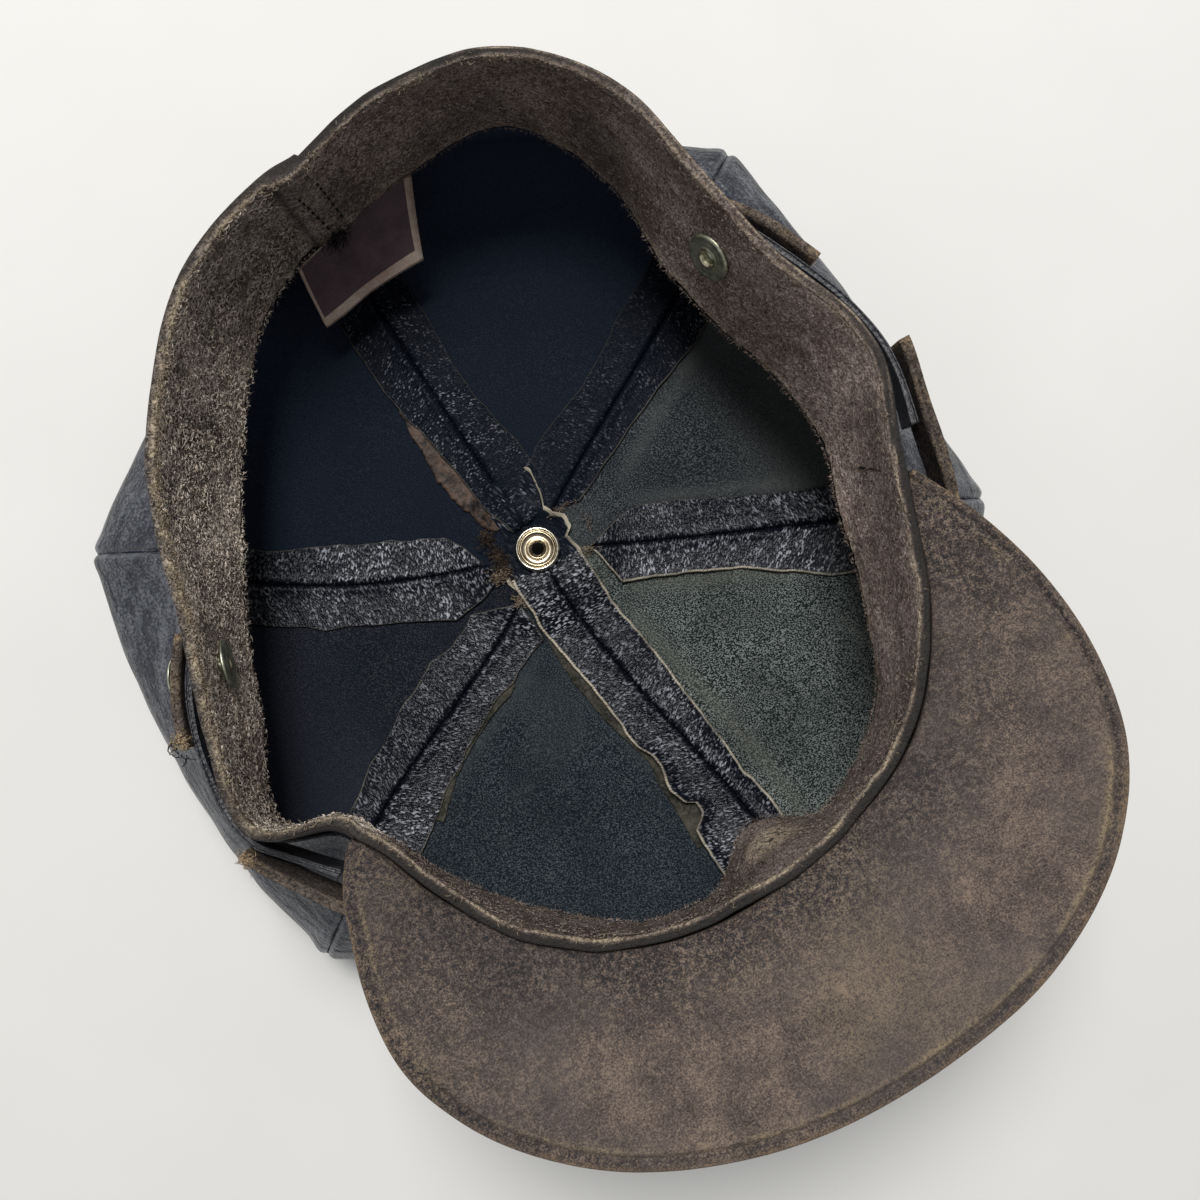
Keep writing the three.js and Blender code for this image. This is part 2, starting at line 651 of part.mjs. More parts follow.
const cap = new THREE.Group();
const crown = new THREE.Group();
PANELS.forEach((panel, i) => {
  const from = SEAMS[i];
  const next = SEAMS[(i + 1) % SEAMS.length];
  const turn = i + 1 === SEAMS.length ? 360 : 0;
  const to = { centre: next.centre + turn, middle: next.middle + turn, corner: next.corner + turn };
  const geometry = panelGeometry(panel, from, { ...to, radius: next.radius });
  crown.add(piece(`crown_panel_${panel.name}`, besideBand(geometry), BLACK));
});
crown.add(piece("crown_button", buttonGeometry(), BLACK));
crown.add(piece("snap_ring", snapGeometry(), STEEL));
cap.add(crown);

let band = bandGeometry();
for (const tab of TABS) band = pierced(band, tab.rivet);
cap.add(piece("band", band, BROWN));
cap.add(piece("peak", besideBand(peakGeometry()), BROWN));
cap.add(piece("label", labelGeometry(), LABEL_CLOTH));

const straps = new THREE.Group();
const ends = (sections) => [sections[0].azimuth, sections.at(-1).azimuth];
const frontStrap = strapGeometry(...ends(FRONT_STRAP_SECTIONS), frontStrapInner, STRAP);
straps.add(piece("front_strap", frontStrap, BROWN));
STRIPS.forEach((strip, i) => {
  const tab = TABS[i];
  const long = strapGeometry(...ends(strip.sections), (...where) => stripInner(strip, ...where), STRIP);
  straps.add(piece(`side_strip_${strip.side}`, pierced(long, tab.rivet), BLACK));
  const short = strapGeometry(tab.start, tab.end, (...where) => overStrip(strip, ...where), TAB);
  straps.add(piece(`tab_${tab.side}`, pierced(short, tab.rivet), BROWN));
  straps.add(piece(`rivet_${tab.side}`, rivetGeometry(strip, tab.rivet), BRASS));
});
cap.add(straps);

// The origin goes to the middle of the cap's box, on the surface that the cap lies on.
const box = new THREE.Box3().setFromObject(cap);
const middle = box.getCenter(new THREE.Vector3());
cap.position.set(-middle.x, -middle.y, -box.min.z);

export default cap;
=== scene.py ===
import itertools
import math

import bpy
import numpy as np
from mathutils import Matrix, Vector
from mathutils.kdtree import KDTree


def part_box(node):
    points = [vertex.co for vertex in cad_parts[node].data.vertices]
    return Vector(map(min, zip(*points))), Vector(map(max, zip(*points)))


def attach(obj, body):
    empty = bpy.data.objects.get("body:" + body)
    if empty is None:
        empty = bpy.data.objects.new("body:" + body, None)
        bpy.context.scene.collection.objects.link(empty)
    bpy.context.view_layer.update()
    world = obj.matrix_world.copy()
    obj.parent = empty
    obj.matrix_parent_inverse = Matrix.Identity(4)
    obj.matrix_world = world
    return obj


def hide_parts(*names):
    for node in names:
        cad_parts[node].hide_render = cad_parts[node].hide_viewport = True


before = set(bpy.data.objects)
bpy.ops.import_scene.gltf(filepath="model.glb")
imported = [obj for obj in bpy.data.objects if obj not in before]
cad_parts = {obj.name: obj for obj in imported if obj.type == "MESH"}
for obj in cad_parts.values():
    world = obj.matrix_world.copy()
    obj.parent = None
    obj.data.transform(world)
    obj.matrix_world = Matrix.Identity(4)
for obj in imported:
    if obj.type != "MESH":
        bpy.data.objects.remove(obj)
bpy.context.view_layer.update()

MM = 0.001
SNAP_LOW, SNAP_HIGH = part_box("snap_ring")
AXIS = np.array([(SNAP_LOW[0] + SNAP_HIGH[0]) / 2, (SNAP_LOW[1] + SNAP_HIGH[1]) / 2, 0.0])

# The real sizes of the pieces, in millimetres
GAP = 0.3
BAND_WALL, BAND_HEIGHT, RIM_HEIGHT, BAND_TILT, BAND_BOW = 3.0, 44.0, 92.0, 4.5, 1.2
LAP_OUTER_END, LAP_INNER_END, LAP_SHIFT, LAP_RAMP = 177.5, 183.0, 1.2, 14.0
CROWN_WALL, FLAP_WALL, CROWN_WIDEST, CROWN_RADIUS = 1.2, 1.0, 27.0, 128.0
PEAK_WALL, PEAK_BELOW = 3.2, 1.6
STRAP_WALL, STRAP_WIDTH, STRIP_WALL, STRIP_WIDTH, TAB_WALL, TAB_WIDTH = 3.0, 13.0, 2.2, 9.0, 2.8, 14.0
STRAP_LINE, RIVET_LINE, RIVET_LEAN, RIVET_FLANGE = 22.5, 20.5, 9.0, 6.4
SNAP_BASE = 7.1

# The band: outer radius at the rim and inner radius at the lower edge, every 15 degrees
BAND_SECTIONS = np.array([
    (98.9, 103.5), (99.4, 103.2), (100.1, 100.2), (95.6, 90.2), (90.4, 82.6), (89.8, 82.4),
    (91.6, 78.7), (89.1, 76.2), (95.4, 81.5), (108.7, 99.5), (115.7, 113.2), (110.9, 106.0),
    (104.8, 99.4), (103.6, 95.6), (97.0, 86.2), (90.0, 80.3), (84.0, 77.4), (82.1, 79.7),
    (86.1, 85.0), (92.6, 97.8), (78.5, 86.5), (84.3, 90.5), (92.6, 96.2), (97.2, 103.2),
])
# Folds of the band: azimuth, half width, how far the wall moves at the rim and at the lower edge
BAND_FOLDS = [(5, 11, 0, -10.5), (83, 15, 2.2, 0), (285, 5, 0.6, 0.6), (293.5, 7, -3.8, -4.2)]
# How light the band's inside is round the head, partly its own colour and partly painted light for walls that
# the lamp lights less: azimuth, share of its finish's colour
BAND_TONE_AND_LIGHT = np.array([
    (0, 1.1), (40, 1.6), (60, 2.75), (80, 3.0), (100, 2.0), (115, 1.85), (135, 1.5), (175, 1.6),
    (184, 1.75), (205, 2.1), (240, 2.3), (262, 2.1), (285, 1.6), (300, 1.2), (325, 1.0), (360, 0.95),
])
# Seams of the crown: azimuth at the middle, half way and at the corner, and the corner's radius
SEAMS = np.array([
    (-7, 4, 4.5, 130), (60, 62, 63, 128.5), (127, 118.8, 120.5, 124.8),
    (181, 181, 180, 126), (256, 247, 238, 125.1), (314, 297.5, 300, 130.6),
], dtype=float)
# Panels from one seam to the next: name, how straight the outline spans, and which flesh side shows
PANELS = [
    ("front_right", 0.6, "flesh_green"), ("right", 0.8, "flesh_grey"), ("back_right", 0.5, "flesh_black"),
    ("back_left", 0.85, "flesh_black"), ("left", 0.5, "flesh_brown"), ("front_left", 0.6, "flesh_blue"),
]
# The crown's outside from the hole out and up to the band, a row for each station: mm from the axis, share of
# the outline's radius, share of the way to the band, height in mm, share of the band's own height
CROWN_SECTIONS = np.array([
    (4.6, 0, 0, 5, 0), (13, 0, 0, 5, 0), (21, 0, 0, 2.2, 0), (30, 0, 0, 0, 0), (0, 0.48, 0, 0, 0),
    (0, 0.72, 0, 0, 0), (0, 0.86, 0, 3.6, 0), (0, 0.945, 0, 10, 0), (0, 0.988, 0, 18, 0), (0, 1, 0, 27, 0),
    (0, 0.99, 0.22, 27, 0.4), (0, 0.98, 0.58, 27, 0.72), (0, 0.98, 0.86, 27, 0.9), (0, 0, 1, 28, 1),
    (0, 0, 1, 36, 1),
])
# Soft folds of the crown's side: azimuth, half width, depth
CROWN_FOLDS = [(78, 7, 4), (104, 6, 2.5), (226, 7, 3), (262, 6, 2.5), (286, 6, 3), (332, 8, 3), (30, 8, 3)]
# The peak: azimuth, how far its edge reaches from the axis, how high it rises
PEAK_SECTIONS = np.array([
    (-61.6, 81.5, 1.5), (-59.4, 87.5, 6), (-54.4, 96.8, 13), (-49.5, 107.5, 16.5), (-44.8, 117, 18),
    (-38, 125.8, 18.8), (-28, 134.2, 19), (-12, 141.5, 18.5), (6, 145.6, 17.5), (19, 147.6, 17),
    (30, 145, 16), (38, 138.8, 14.5), (45, 128.6, 12.5), (52, 116.6, 9.5), (58.5, 104.6, 6),
    (63.5, 95.4, 3), (66, 91.4, 1),
])
# The front strap's outer face: azimuth, radius
FRONT_STRAP = np.array([
    (-74.5, 104.2), (-66, 102.2), (-58, 100.5), (-40, 102.5), (-20, 107.5), (0, 109.5), (20, 110.5),
    (45, 108), (62, 105.8), (73, 103.9), (84.5, 105.8),
])
# The side strips' outer faces: azimuth, radius, how far they lean with the band
STRIPS = {
    "right": np.array([
        (73, 100.2, 0), (84.5, 101.2, 0), (93, 98.8, 0.5), (103, 95.4, 1), (113, 93.6, 1), (119, 91, 1),
    ]),
    "left": np.array([
        (-108, 85.5, 1), (-99, 91.4, 1), (-86, 97.6, 0.3), (-78, 100.6, 0), (-74, 100.6, 0), (-70, 98, 0),
        (-61.5, 93.8, 0),
    ]),
}
# Tabs: first and last azimuth, azimuth of the rivet
TABS = {"right": (100.5, 119, 113.4), "left": (-107.5, -91, -100.3)}
# Label: first and last azimuth and its slant; drop and lean of its right and left side
LABEL_START, LABEL_END, LABEL_SKEW, LABEL_WALL = 164.9, 187.3, 3.2, 0.5
LABEL_DROP, LABEL_LEAN = (16, 20), (19, 10)

# Seam allowances: seam, side (-1 towards the panel before it), lift of the inner start, how strongly cross
# folds, painted glints and a turned-up light lip show, and the outline of the free edge: distance from the
# axis, width
FLAPS = {
    "front_before": (0, -1, 0.9, 0.15, 1.0, 1.0, [
        (5, 10.5), (7, 10.6), (10, 10.1), (15, 9.8), (19, 11.1), (28, 10.9), (38, 10.8), (46, 10.7),
        (54, 11.7), (61, 12.4), (66, 13.2), (70, 13.2), (74, 11.4), (78, 11.2), (82, 12.8), (87, 14.6),
        (92, 13.9), (93, 11), (97, 11.1), (100, 13.5), (102, 16), (107, 17.3)]),
    "front_after": (0, 1, 0.9, 0.15, 1.0, 0.8, [
        (6, 10.5), (14, 11.1), (25, 10.6), (34, 11.2), (43, 11.4), (52, 11), (64, 10), (79, 8.6), (85, 7.7),
        (90, 7.1), (94, 6.5), (98, 7.7), (104, 7.9)]),
    "right_before": (1, -1, 0.2, 0.15, 0.9, 0.75, [
        (15.5, 0.4), (25, 11.7), (36, 10.7), (49, 11.1), (64, 11.6), (80, 14.2), (94, 17.4)]),
    "right_after": (1, 1, 0.2, 0.2, 0.6, 0.1, [
        (16, 0.4), (21, 4.6), (27, 8.9), (33, 11.5), (44, 12.4), (63, 11.7), (79, 10.8), (91, 11.3)]),
    "back_right_before": (2, -1, 0.2, 0.3, 0.6, 0.2, [
        (12, 0.4), (14, 1), (18, 5.3), (28, 6.3), (43, 7.6), (56, 8.7), (66, 9.5), (77, 10.9), (86, 12.6)]),
    "back_right_after": (2, 1, 0.2, 0.75, 0.35, 0.0, [
        (12, 7), (18, 10.5), (23, 12.9), (29, 14.1), (44, 13.1), (54, 11.7), (65, 12.1), (78, 13.3),
        (88, 13), (93, 12.4)]),
    "back_before": (3, -1, 0.2, 1.0, 0.8, 0.0, [
        (8, 11), (15, 12.5), (21, 13), (24, 12.9), (33, 13.3), (43, 11.8), (52, 11), (63, 10.7), (75, 11),
        (88, 12)]),
    "back_after": (3, 1, 0.2, 1.0, 1.0, 0.15, [
        (8, 3), (17, 5.7), (31, 7.1), (41, 8.1), (53, 9.9), (63, 11.9), (74, 13.3), (91, 13.2)]),
    "left_before": (4, -1, 0.2, 0.2, 0.9, 0.1, [
        (17, 0.4), (22, 7.1), (27, 10.4), (34, 11.5), (47, 13), (57, 13), (73, 12.3), (89, 9.9)]),
    "left_after": (4, 1, 0.2, 0.3, 0.8, 0.1, [
        (15, 6), (20, 9.5), (26, 12.1), (31, 14.3), (41, 13.7), (50, 13.6), (67, 14.1), (75, 15.5),
        (80, 14.1), (88, 14.8)]),
    "front_left_before": (5, -1, 0.2, 0.25, 0.6, 0.2, [
        (17.5, 0.4), (22, 6.5), (27, 11.2), (33, 11.1), (40, 11.5), (49, 13.7), (59, 13.2), (67, 13),
        (72, 11.9), (78, 10.9), (87, 10.9), (95, 9.1)]),
    "front_left_after": (5, 1, 0.2, 0.2, 0.9, 0.2, [
        (17.5, 0.4), (21, 6), (25, 11.2), (38, 10.2), (41, 11), (49, 9.9), (58, 10.9), (67, 11.5),
        (71, 12.8), (80, 13.1), (88, 15.2), (95, 16.2)]),
}
# Torn strips that show beside a seam allowance: seam, side, finish, distance from the axis and outer edge
SCRAPS = {
    "olive_front": (0, -1, "olive_flesh", [
        (19, 11.1), (27, 12.2), (35, 13.6), (42, 14.9), (50, 15.3), (58, 15.4), (64, 14.7), (71, 14),
        (76, 13.8), (82, 16), (88, 17), (96, 18.2), (102, 19), (108, 19.8)]),
    "olive_front_left": (5, 1, "olive_flesh", [
        (42, 11.5), (43, 12.5), (47, 12.8), (53, 12.1), (60, 12.1), (65, 12.3), (76, 13.8), (84, 16.5),
        (92, 18.4)]),
    "brown_back": (3, 1, "brown_scrap", [
        (11, 7.5), (15, 9.9), (29, 13.1), (38, 14.3), (47, 13.9), (55, 14.4), (60, 13.6), (65, 12.3)]),
}
# The black leather round the snap: azimuth and distance of its edge
MIDDLE = np.array([
    (0, 10.5), (30, 11.5), (50, 13.1), (68.4, 10.9), (81.5, 9.6), (92.9, 11.9), (109.7, 13.1),
    (124.1, 11.6), (138.6, 12.5), (146.7, 18), (152.8, 23.8), (164, 27), (181, 24), (197, 20), (205, 15),
    (216, 10.5), (253, 9.2), (288, 13.5), (308, 14), (330, 11.5), (360, 10.5),
])

# Every pattern in the shapes is read from one cube of random values, and every hair comes from one generator
LATTICE_SIZE, OCTAVE_SHIFT = 64, 7.3
RANDOM = np.random.default_rng(1805)
LATTICE = RANDOM.uniform(-1, 1, (LATTICE_SIZE,) * 3)


def smooth(x):
    x = np.clip(x, 0, 1)
    return x * x * (3 - 2 * x)


def lerp(a, b, share):
    return a + (b - a) * share


def noise(points, size, shift=0.0):
    """Smooth random values between -1 and 1, in lumps one to two times `size` mm across."""
    place = points / size + shift
    cell = np.floor(place).astype(int)
    share = smooth(place - cell)
    total = 0.0
    for corner in itertools.product((0, 1), repeat=3):
        weight = np.prod(np.where(corner, share, 1 - share), axis=-1)
        index = (cell + corner) % LATTICE_SIZE
        total = total + weight * LATTICE[index[..., 0], index[..., 1], index[..., 2]]
    return total


def rough(points, size, octaves=3, shift=0.0):
    """Noise with finer and finer lumps on top."""
    return sum(noise(points, size / 2**k, shift + OCTAVE_SHIFT * k) / 2**k for k in range(octaves))


def ridged(points, size, shift=0.0):
    """Sharp ridges of height 1 where the noise goes through zero."""
    return 1 - 2.4 * np.abs(noise(points, size, shift))


def bell(x, middle, width):
    return np.exp(-(((x - middle) / width) ** 2))


def curve(p0, p1, p2, p3, t):
    return p1 + 0.5 * t * (p2 - p0 + t * (2 * p0 - 5 * p1 + 4 * p2 - p3 + t * (3 * (p1 - p2) + p3 - p0)))


def round_value(column, azimuth):
    place = np.mod(azimuth, 360) * len(column) / 360
    i = np.floor(place).astype(int)
    pick = [column[(i + k) % len(column)] for k in (-1, 0, 1, 2)]
    return curve(*pick, place - i)


def open_value(table, column, azimuth):
    """A smooth curve through a table's rows at uneven azimuths."""
    where, value = table[:, 0], table[:, column]
    slope = np.gradient(value, where)
    i = np.clip(np.searchsorted(where, azimuth) - 1, 0, len(where) - 2)
    span = where[i + 1] - where[i]
    t = np.clip((azimuth - where[i]) / span, 0, 1)
    bend = t * (1 - t) * span * ((1 - t) * slope[i] - t * slope[i + 1])
    return lerp(value[i], value[i + 1], smooth(t)) + bend


def hump(azimuth, centre, half_width):
    away = np.abs(np.mod(azimuth - centre + 180, 360) - 180)
    return np.where(away < half_width, np.cos(np.pi / 2 * np.minimum(away / half_width, 1)) ** 2, 0)


def at(azimuth, radius, height):
    """Points at azimuths, distances from the axis and heights."""
    angle = np.radians(azimuth)
    parts = np.broadcast_arrays(radius * np.sin(angle), -radius * np.cos(angle), height)
    return np.stack(parts, axis=-1)


def unit(vectors):
    return vectors / np.maximum(np.linalg.norm(vectors, axis=-1, keepdims=True), 1e-9)


# The band's surfaces: share 0 is its lower edge, in the crown, and 1 the rim
def rim_height(azimuth):
    radius = round_value(BAND_SECTIONS[:, 0], azimuth)
    return RIM_HEIGHT + radius * np.cos(np.radians(azimuth)) * math.sin(math.radians(BAND_TILT))


def band_height(azimuth, share):
    return rim_height(azimuth) - BAND_HEIGHT * (1 - share)


def band_inner(azimuth, share):
    rim = round_value(BAND_SECTIONS[:, 0], azimuth) - BAND_WALL
    low = round_value(BAND_SECTIONS[:, 1], azimuth)
    for centre, half_width, at_rim, at_low in BAND_FOLDS:
        rim = rim + at_rim * hump(azimuth, centre, half_width)
        low = low + at_low * hump(azimuth, centre, half_width)
    return lerp(low, rim, share) + BAND_BOW * np.sin(np.pi * np.clip(share, 0, 1))


def lap_shift(azimuth, switch_at):
    turn = np.mod(azimuth, 360)
    near = smooth(1 - np.abs(turn - (LAP_OUTER_END + LAP_INNER_END) / 2) / LAP_RAMP)
    return np.where(turn < switch_at, -1, 1) * LAP_SHIFT * near


def band_inside(azimuth, share):
    return band_inner(azimuth, share) + lap_shift(azimuth, LAP_INNER_END)


def band_outside(azimuth, share):
    return band_inner(azimuth, share) + BAND_WALL + lap_shift(azimuth, LAP_OUTER_END)


def band_share(azimuth, height):
    return (height - band_height(azimuth, 0)) / BAND_HEIGHT


def band_relief(points):
    """Soft dents of the band's wall."""
    return rough(points, 26) * 0.7


# The crown's surfaces: station 0 is the hole in its middle and 14 its edge outside the band
LAST_STATION = 13.999


def seam_azimuth(seam, share):
    centre, middle, corner = seam[:3]
    ends = (share - 0.5) * (share - 1) * centre + share * (share - 0.5) * corner
    return 2 * ends + 4 * share * (1 - share) * middle


def panel_seams(index):
    """The seams before and after a panel, the second with azimuths that go on from the first."""
    before = SEAMS[index].copy()
    after = SEAMS[(index + 1) % len(SEAMS)].copy()
    if index + 1 == len(SEAMS):
        after[:3] += 360
    return before, after


def outline_radius(share, before, after, straight):
    whole = math.radians(after[2] - before[2])
    chord = before[3] * after[3] * math.sin(whole) / (
        before[3] * np.sin(whole * share) + after[3] * np.sin(whole * (1 - share)))
    return lerp(lerp(before[3], after[3], share), chord, straight)


def seam_share(station):
    """How far along its seam a station is, from 0 at the axis to 1 at the corner."""
    shares = np.where(CROWN_SECTIONS[:, 2] > 0, 1, CROWN_SECTIONS[:, 1] + CROWN_SECTIONS[:, 0] / CROWN_RADIUS)
    return np.interp(station, np.arange(len(shares)), shares)


def crown_profile(station, azimuth, outline):
    """Distance from the axis and height of the crown's outside."""
    station, azimuth, outline = np.broadcast_arrays(station, azimuth, outline)
    last = len(CROWN_SECTIONS) - 1
    i = np.clip(np.floor(station).astype(int), 0, last - 1)
    low = band_height(azimuth, 0)
    radii, heights = [], []
    for k in (-1, 0, 1, 2):
        rounded, corner, band, lift, rise = np.moveaxis(CROWN_SECTIONS[np.clip(i + k, 0, last)], -1, 0)
        height = lift + rise * (low - CROWN_WIDEST)
        share = np.maximum(0, height - low) / BAND_HEIGHT
        neck = band_outside(azimuth, share) + 2 * GAP + CROWN_WALL
        fold = sum(depth * hump(azimuth, centre, half) for centre, half, depth in CROWN_FOLDS)
        radii.append(lerp(rounded + corner * outline, neck, band) - 4 * band * (1 - band) * fold)
        heights.append(height)
    return curve(*radii, station - i), np.maximum(curve(*heights, station - i), 0)


def crown_point(station, azimuth, outline, depth):
    """A point `depth` mm inside the crown's outside."""
    step = 0.05
    radius, height = crown_profile(station, azimuth, outline)
    before = crown_profile(np.maximum(station - step, 0), azimuth, outline)
    after = crown_profile(np.minimum(station + step, LAST_STATION), azimuth, outline)
    run = np.hypot(after[0] - before[0], after[1] - before[1])
    inward = (before[1] - after[1]) / run
    up = (after[0] - before[0]) / run
    return at(azimuth, radius + inward * depth, height + up * depth)


# Stations along a typical seam, with their distance from the axis along the leather
STATIONS = np.linspace(0, LAST_STATION, 900)
SEAM_RADIUS, SEAM_HEIGHT = crown_profile(STATIONS, 30.0, CROWN_RADIUS)
SEAM_PARTS = np.hypot(np.diff(SEAM_RADIUS), np.diff(SEAM_HEIGHT))
SEAM_RUN = SEAM_RADIUS[0] + np.concatenate([[0], np.cumsum(SEAM_PARTS)])


def station_at(run):
    return np.interp(run, SEAM_RUN, STATIONS)


# Meshes. Solids of revolution have this many steps round, and the larger rings more
TURNED_STEPS, RING_STEPS = 64, 72


def link(thing):
    bpy.context.scene.collection.objects.link(thing)
    return thing


def round_sheet(face, back):
    """Rows that run out along a sheet's face and back along its other side."""
    return np.concatenate([face, back[:, ::-1]], axis=1)


def mesh_object(name, points, faces, finishes, values=None, slots=None):
    """A smooth mesh from points in mm, with a value for each point in each of its named attributes."""
    mesh = bpy.data.meshes.new(name)
    mesh.from_pydata((np.asarray(points).reshape(-1, 3) * MM + AXIS).tolist(), [], faces)
    mesh.polygons.foreach_set("use_smooth", [True] * len(mesh.polygons))
    for finish in finishes:
        mesh.materials.append(FINISH[finish])
    if slots is not None:
        mesh.polygons.foreach_set("material_index", np.asarray(slots, dtype=np.int32))
    for key, value in (values or {}).items():
        layer = mesh.attributes.new(key, "FLOAT", "POINT")
        layer.data.foreach_set("value", np.asarray(value, dtype=np.float32).ravel())
    mesh.update()
    piece = link(bpy.data.objects.new(name, mesh))
    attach(piece, "root")
    return piece


def swept(name, loops, finishes, closed=False, pairs=False, values=None, slot_of=None):
    """A solid through rows of cross-sections. Its ends are closed by one face each, with `pairs` by a strip
    between the first and second half of the cross-section, or where it is `closed` they meet. `slot_of` gives
    the finish of each column, or of each face where it is a grid."""
    rows, columns = loops.shape[:2]
    index = np.arange(rows * columns).reshape(rows, columns)
    onward = np.roll(index, -1, axis=0) if closed else index[1:]
    here = index if closed else index[:-1]
    side = np.roll(here, -1, axis=1)
    ahead = np.roll(onward, -1, axis=1)
    faces = np.stack([here, onward, ahead, side], axis=-1).reshape(-1, 4).tolist()
    kinds = np.zeros(columns, int) if slot_of is None else np.asarray(slot_of)
    slots = np.broadcast_to(kinds, here.shape).ravel().tolist()
    if not closed:
        for row, flip in ((index[0], False), (index[-1], True)):
            if pairs:
                half = columns // 2
                there = row[::-1]
                caps = [[row[j], row[j + 1], there[j + 1], there[j]] for j in range(half - 1)]
            else:
                caps = [row.tolist()]
            faces += [[int(k) for k in (cap[::-1] if flip else cap)] for cap in caps]
            slots += [int(kinds.ravel()[0])] * len(caps)
    piece = mesh_object(name, loops, faces, finishes, values, slots)
    face_out(piece)
    return piece


def face_out(piece):
    """Turns the faces of a closed solid round if they point in."""
    mesh = piece.data
    mesh.calc_loop_triangles()
    corners = np.empty(len(mesh.loop_triangles) * 3, dtype=np.int32)
    mesh.loop_triangles.foreach_get("vertices", corners)
    places = np.empty(len(mesh.vertices) * 3)
    mesh.vertices.foreach_get("co", places)
    a, b, c = places.reshape(-1, 3)[corners.reshape(-1, 3)].transpose(1, 0, 2)
    if np.einsum("ij,ij->i", a, np.cross(b, c)).sum() < 0:
        mesh.flip_normals()


def turned(name, profile, place, axis, finishes, slot_of=None):
    """A solid of revolution: its profile is (radius, height along the axis) from one end to the other."""
    axis = Vector(axis).normalized()
    across = axis.orthogonal().normalized()
    beside = axis.cross(across)
    angle = np.linspace(0, 2 * np.pi, TURNED_STEPS, endpoint=False)
    ring = np.cos(angle)[:, None] * np.array(across) + np.sin(angle)[:, None] * np.array(beside)
    radius, height = np.array(profile, dtype=float).T
    points = np.array(place) + radius[:, None, None] * ring + (height[:, None] * np.array(axis))[:, None]
    grid = None if slot_of is None else np.repeat(np.array(slot_of)[:-1, None], TURNED_STEPS, axis=1)
    return swept(name, points, finishes, slot_of=grid)


def ring_solid(name, profile, finishes):
    """A ring whose closed profile is (radius, height)."""
    angle = np.linspace(0, 360, RING_STEPS, endpoint=False)[:, None]
    radius, height = np.array(profile).T
    return swept(name, at(angle, radius, height), finishes, closed=True)


# Hairs: where a hair's three sides lie, how wide its tip is as a share, how far it bends, how high it rises
HAIR_SIDES, HAIR_TIP, HAIR_BEND, HAIR_RISE = (0, 2.094, 4.189), 0.35, 2.6, 0.35
TUFT_STEPS = 5
# Stitches: pitch, length, width and height, how far their ends dip, and the rings and sides of their meshes
STITCH_PITCH, STITCH_LENGTH, STITCH_WIDTH, STITCH_HEIGHT, STITCH_DIP = 3.8, 2.4, 0.8, 0.4, 0.2
STITCH_RINGS, STITCH_SIDES = 5, 6


def tubes(name, paths, widths, finish):
    """Thin three-sided hairs along paths of points: paths has the shape (hairs, points, 3)."""
    count, steps = paths.shape[:2]
    ahead = unit(np.gradient(paths, axis=1))
    across = unit(np.cross(ahead, RANDOM.normal(size=(count, 1, 3))))
    beside = np.cross(ahead, across)
    girth = widths[:, None, None] / 2 * np.linspace(1.0, HAIR_TIP, steps)[None, :, None]
    rings = [paths + girth * (math.cos(turn) * across + math.sin(turn) * beside) for turn in HAIR_SIDES]
    points = np.stack(rings, axis=2)
    last = 3 * (steps - 1)
    faces = [[0, 2, 1], [last, last + 1, last + 2]]
    for row in range(0, last, 3):
        faces += [[row + k, row + (k + 1) % 3, row + 3 + (k + 1) % 3, row + 3 + k] for k in range(3)]
    every = [[k + n * 3 * steps for k in face] for n in range(count) for face in faces]
    return mesh_object(name, points, every, [finish])


def curls(roots, along, beside, lift, lengths, steps=3):
    """Paths of short hairs that lie nearly flat on a surface and bend round at random."""
    count = len(roots)
    turn = RANDOM.uniform(0, 2 * np.pi, count)
    bend = RANDOM.uniform(-HAIR_BEND, HAIR_BEND, count)
    share = np.linspace(0, 1, steps)
    angle = turn[:, None] + bend[:, None] * share
    step = lengths[:, None] / (steps - 1)
    run = np.cumsum(np.cos(angle) * step, axis=1)[..., None] * along[:, None]
    side = np.cumsum(np.sin(angle) * step, axis=1)[..., None] * beside[:, None]
    up = np.sin(np.pi * (0.15 + 0.75 * share)) * HAIR_RISE * RANDOM.uniform(0.3, 1.6, count)[:, None]
    return roots[:, None] + run + side + up[..., None] * lift[:, None]


def tuft(name, middle, spread, count, length, finish, width=0.3, lift=(0, 0, 1.0)):
    """A small clump of curly fibres."""
    roots = np.array(middle) + RANDOM.normal(size=(count, 3)) * np.array(spread)
    ones = np.ones((count, 1))
    lengths = RANDOM.uniform(0.6, 1.3, count) * length
    across, deep, up = ones * (1.0, 0, 0), ones * (0, 1.0, 0), ones * np.array(lift) * 1.5
    paths = curls(roots, across, deep, up, lengths, steps=TUFT_STEPS)
    piece = tubes(name, paths, RANDOM.uniform(0.7, 1.3, count) * width, finish)


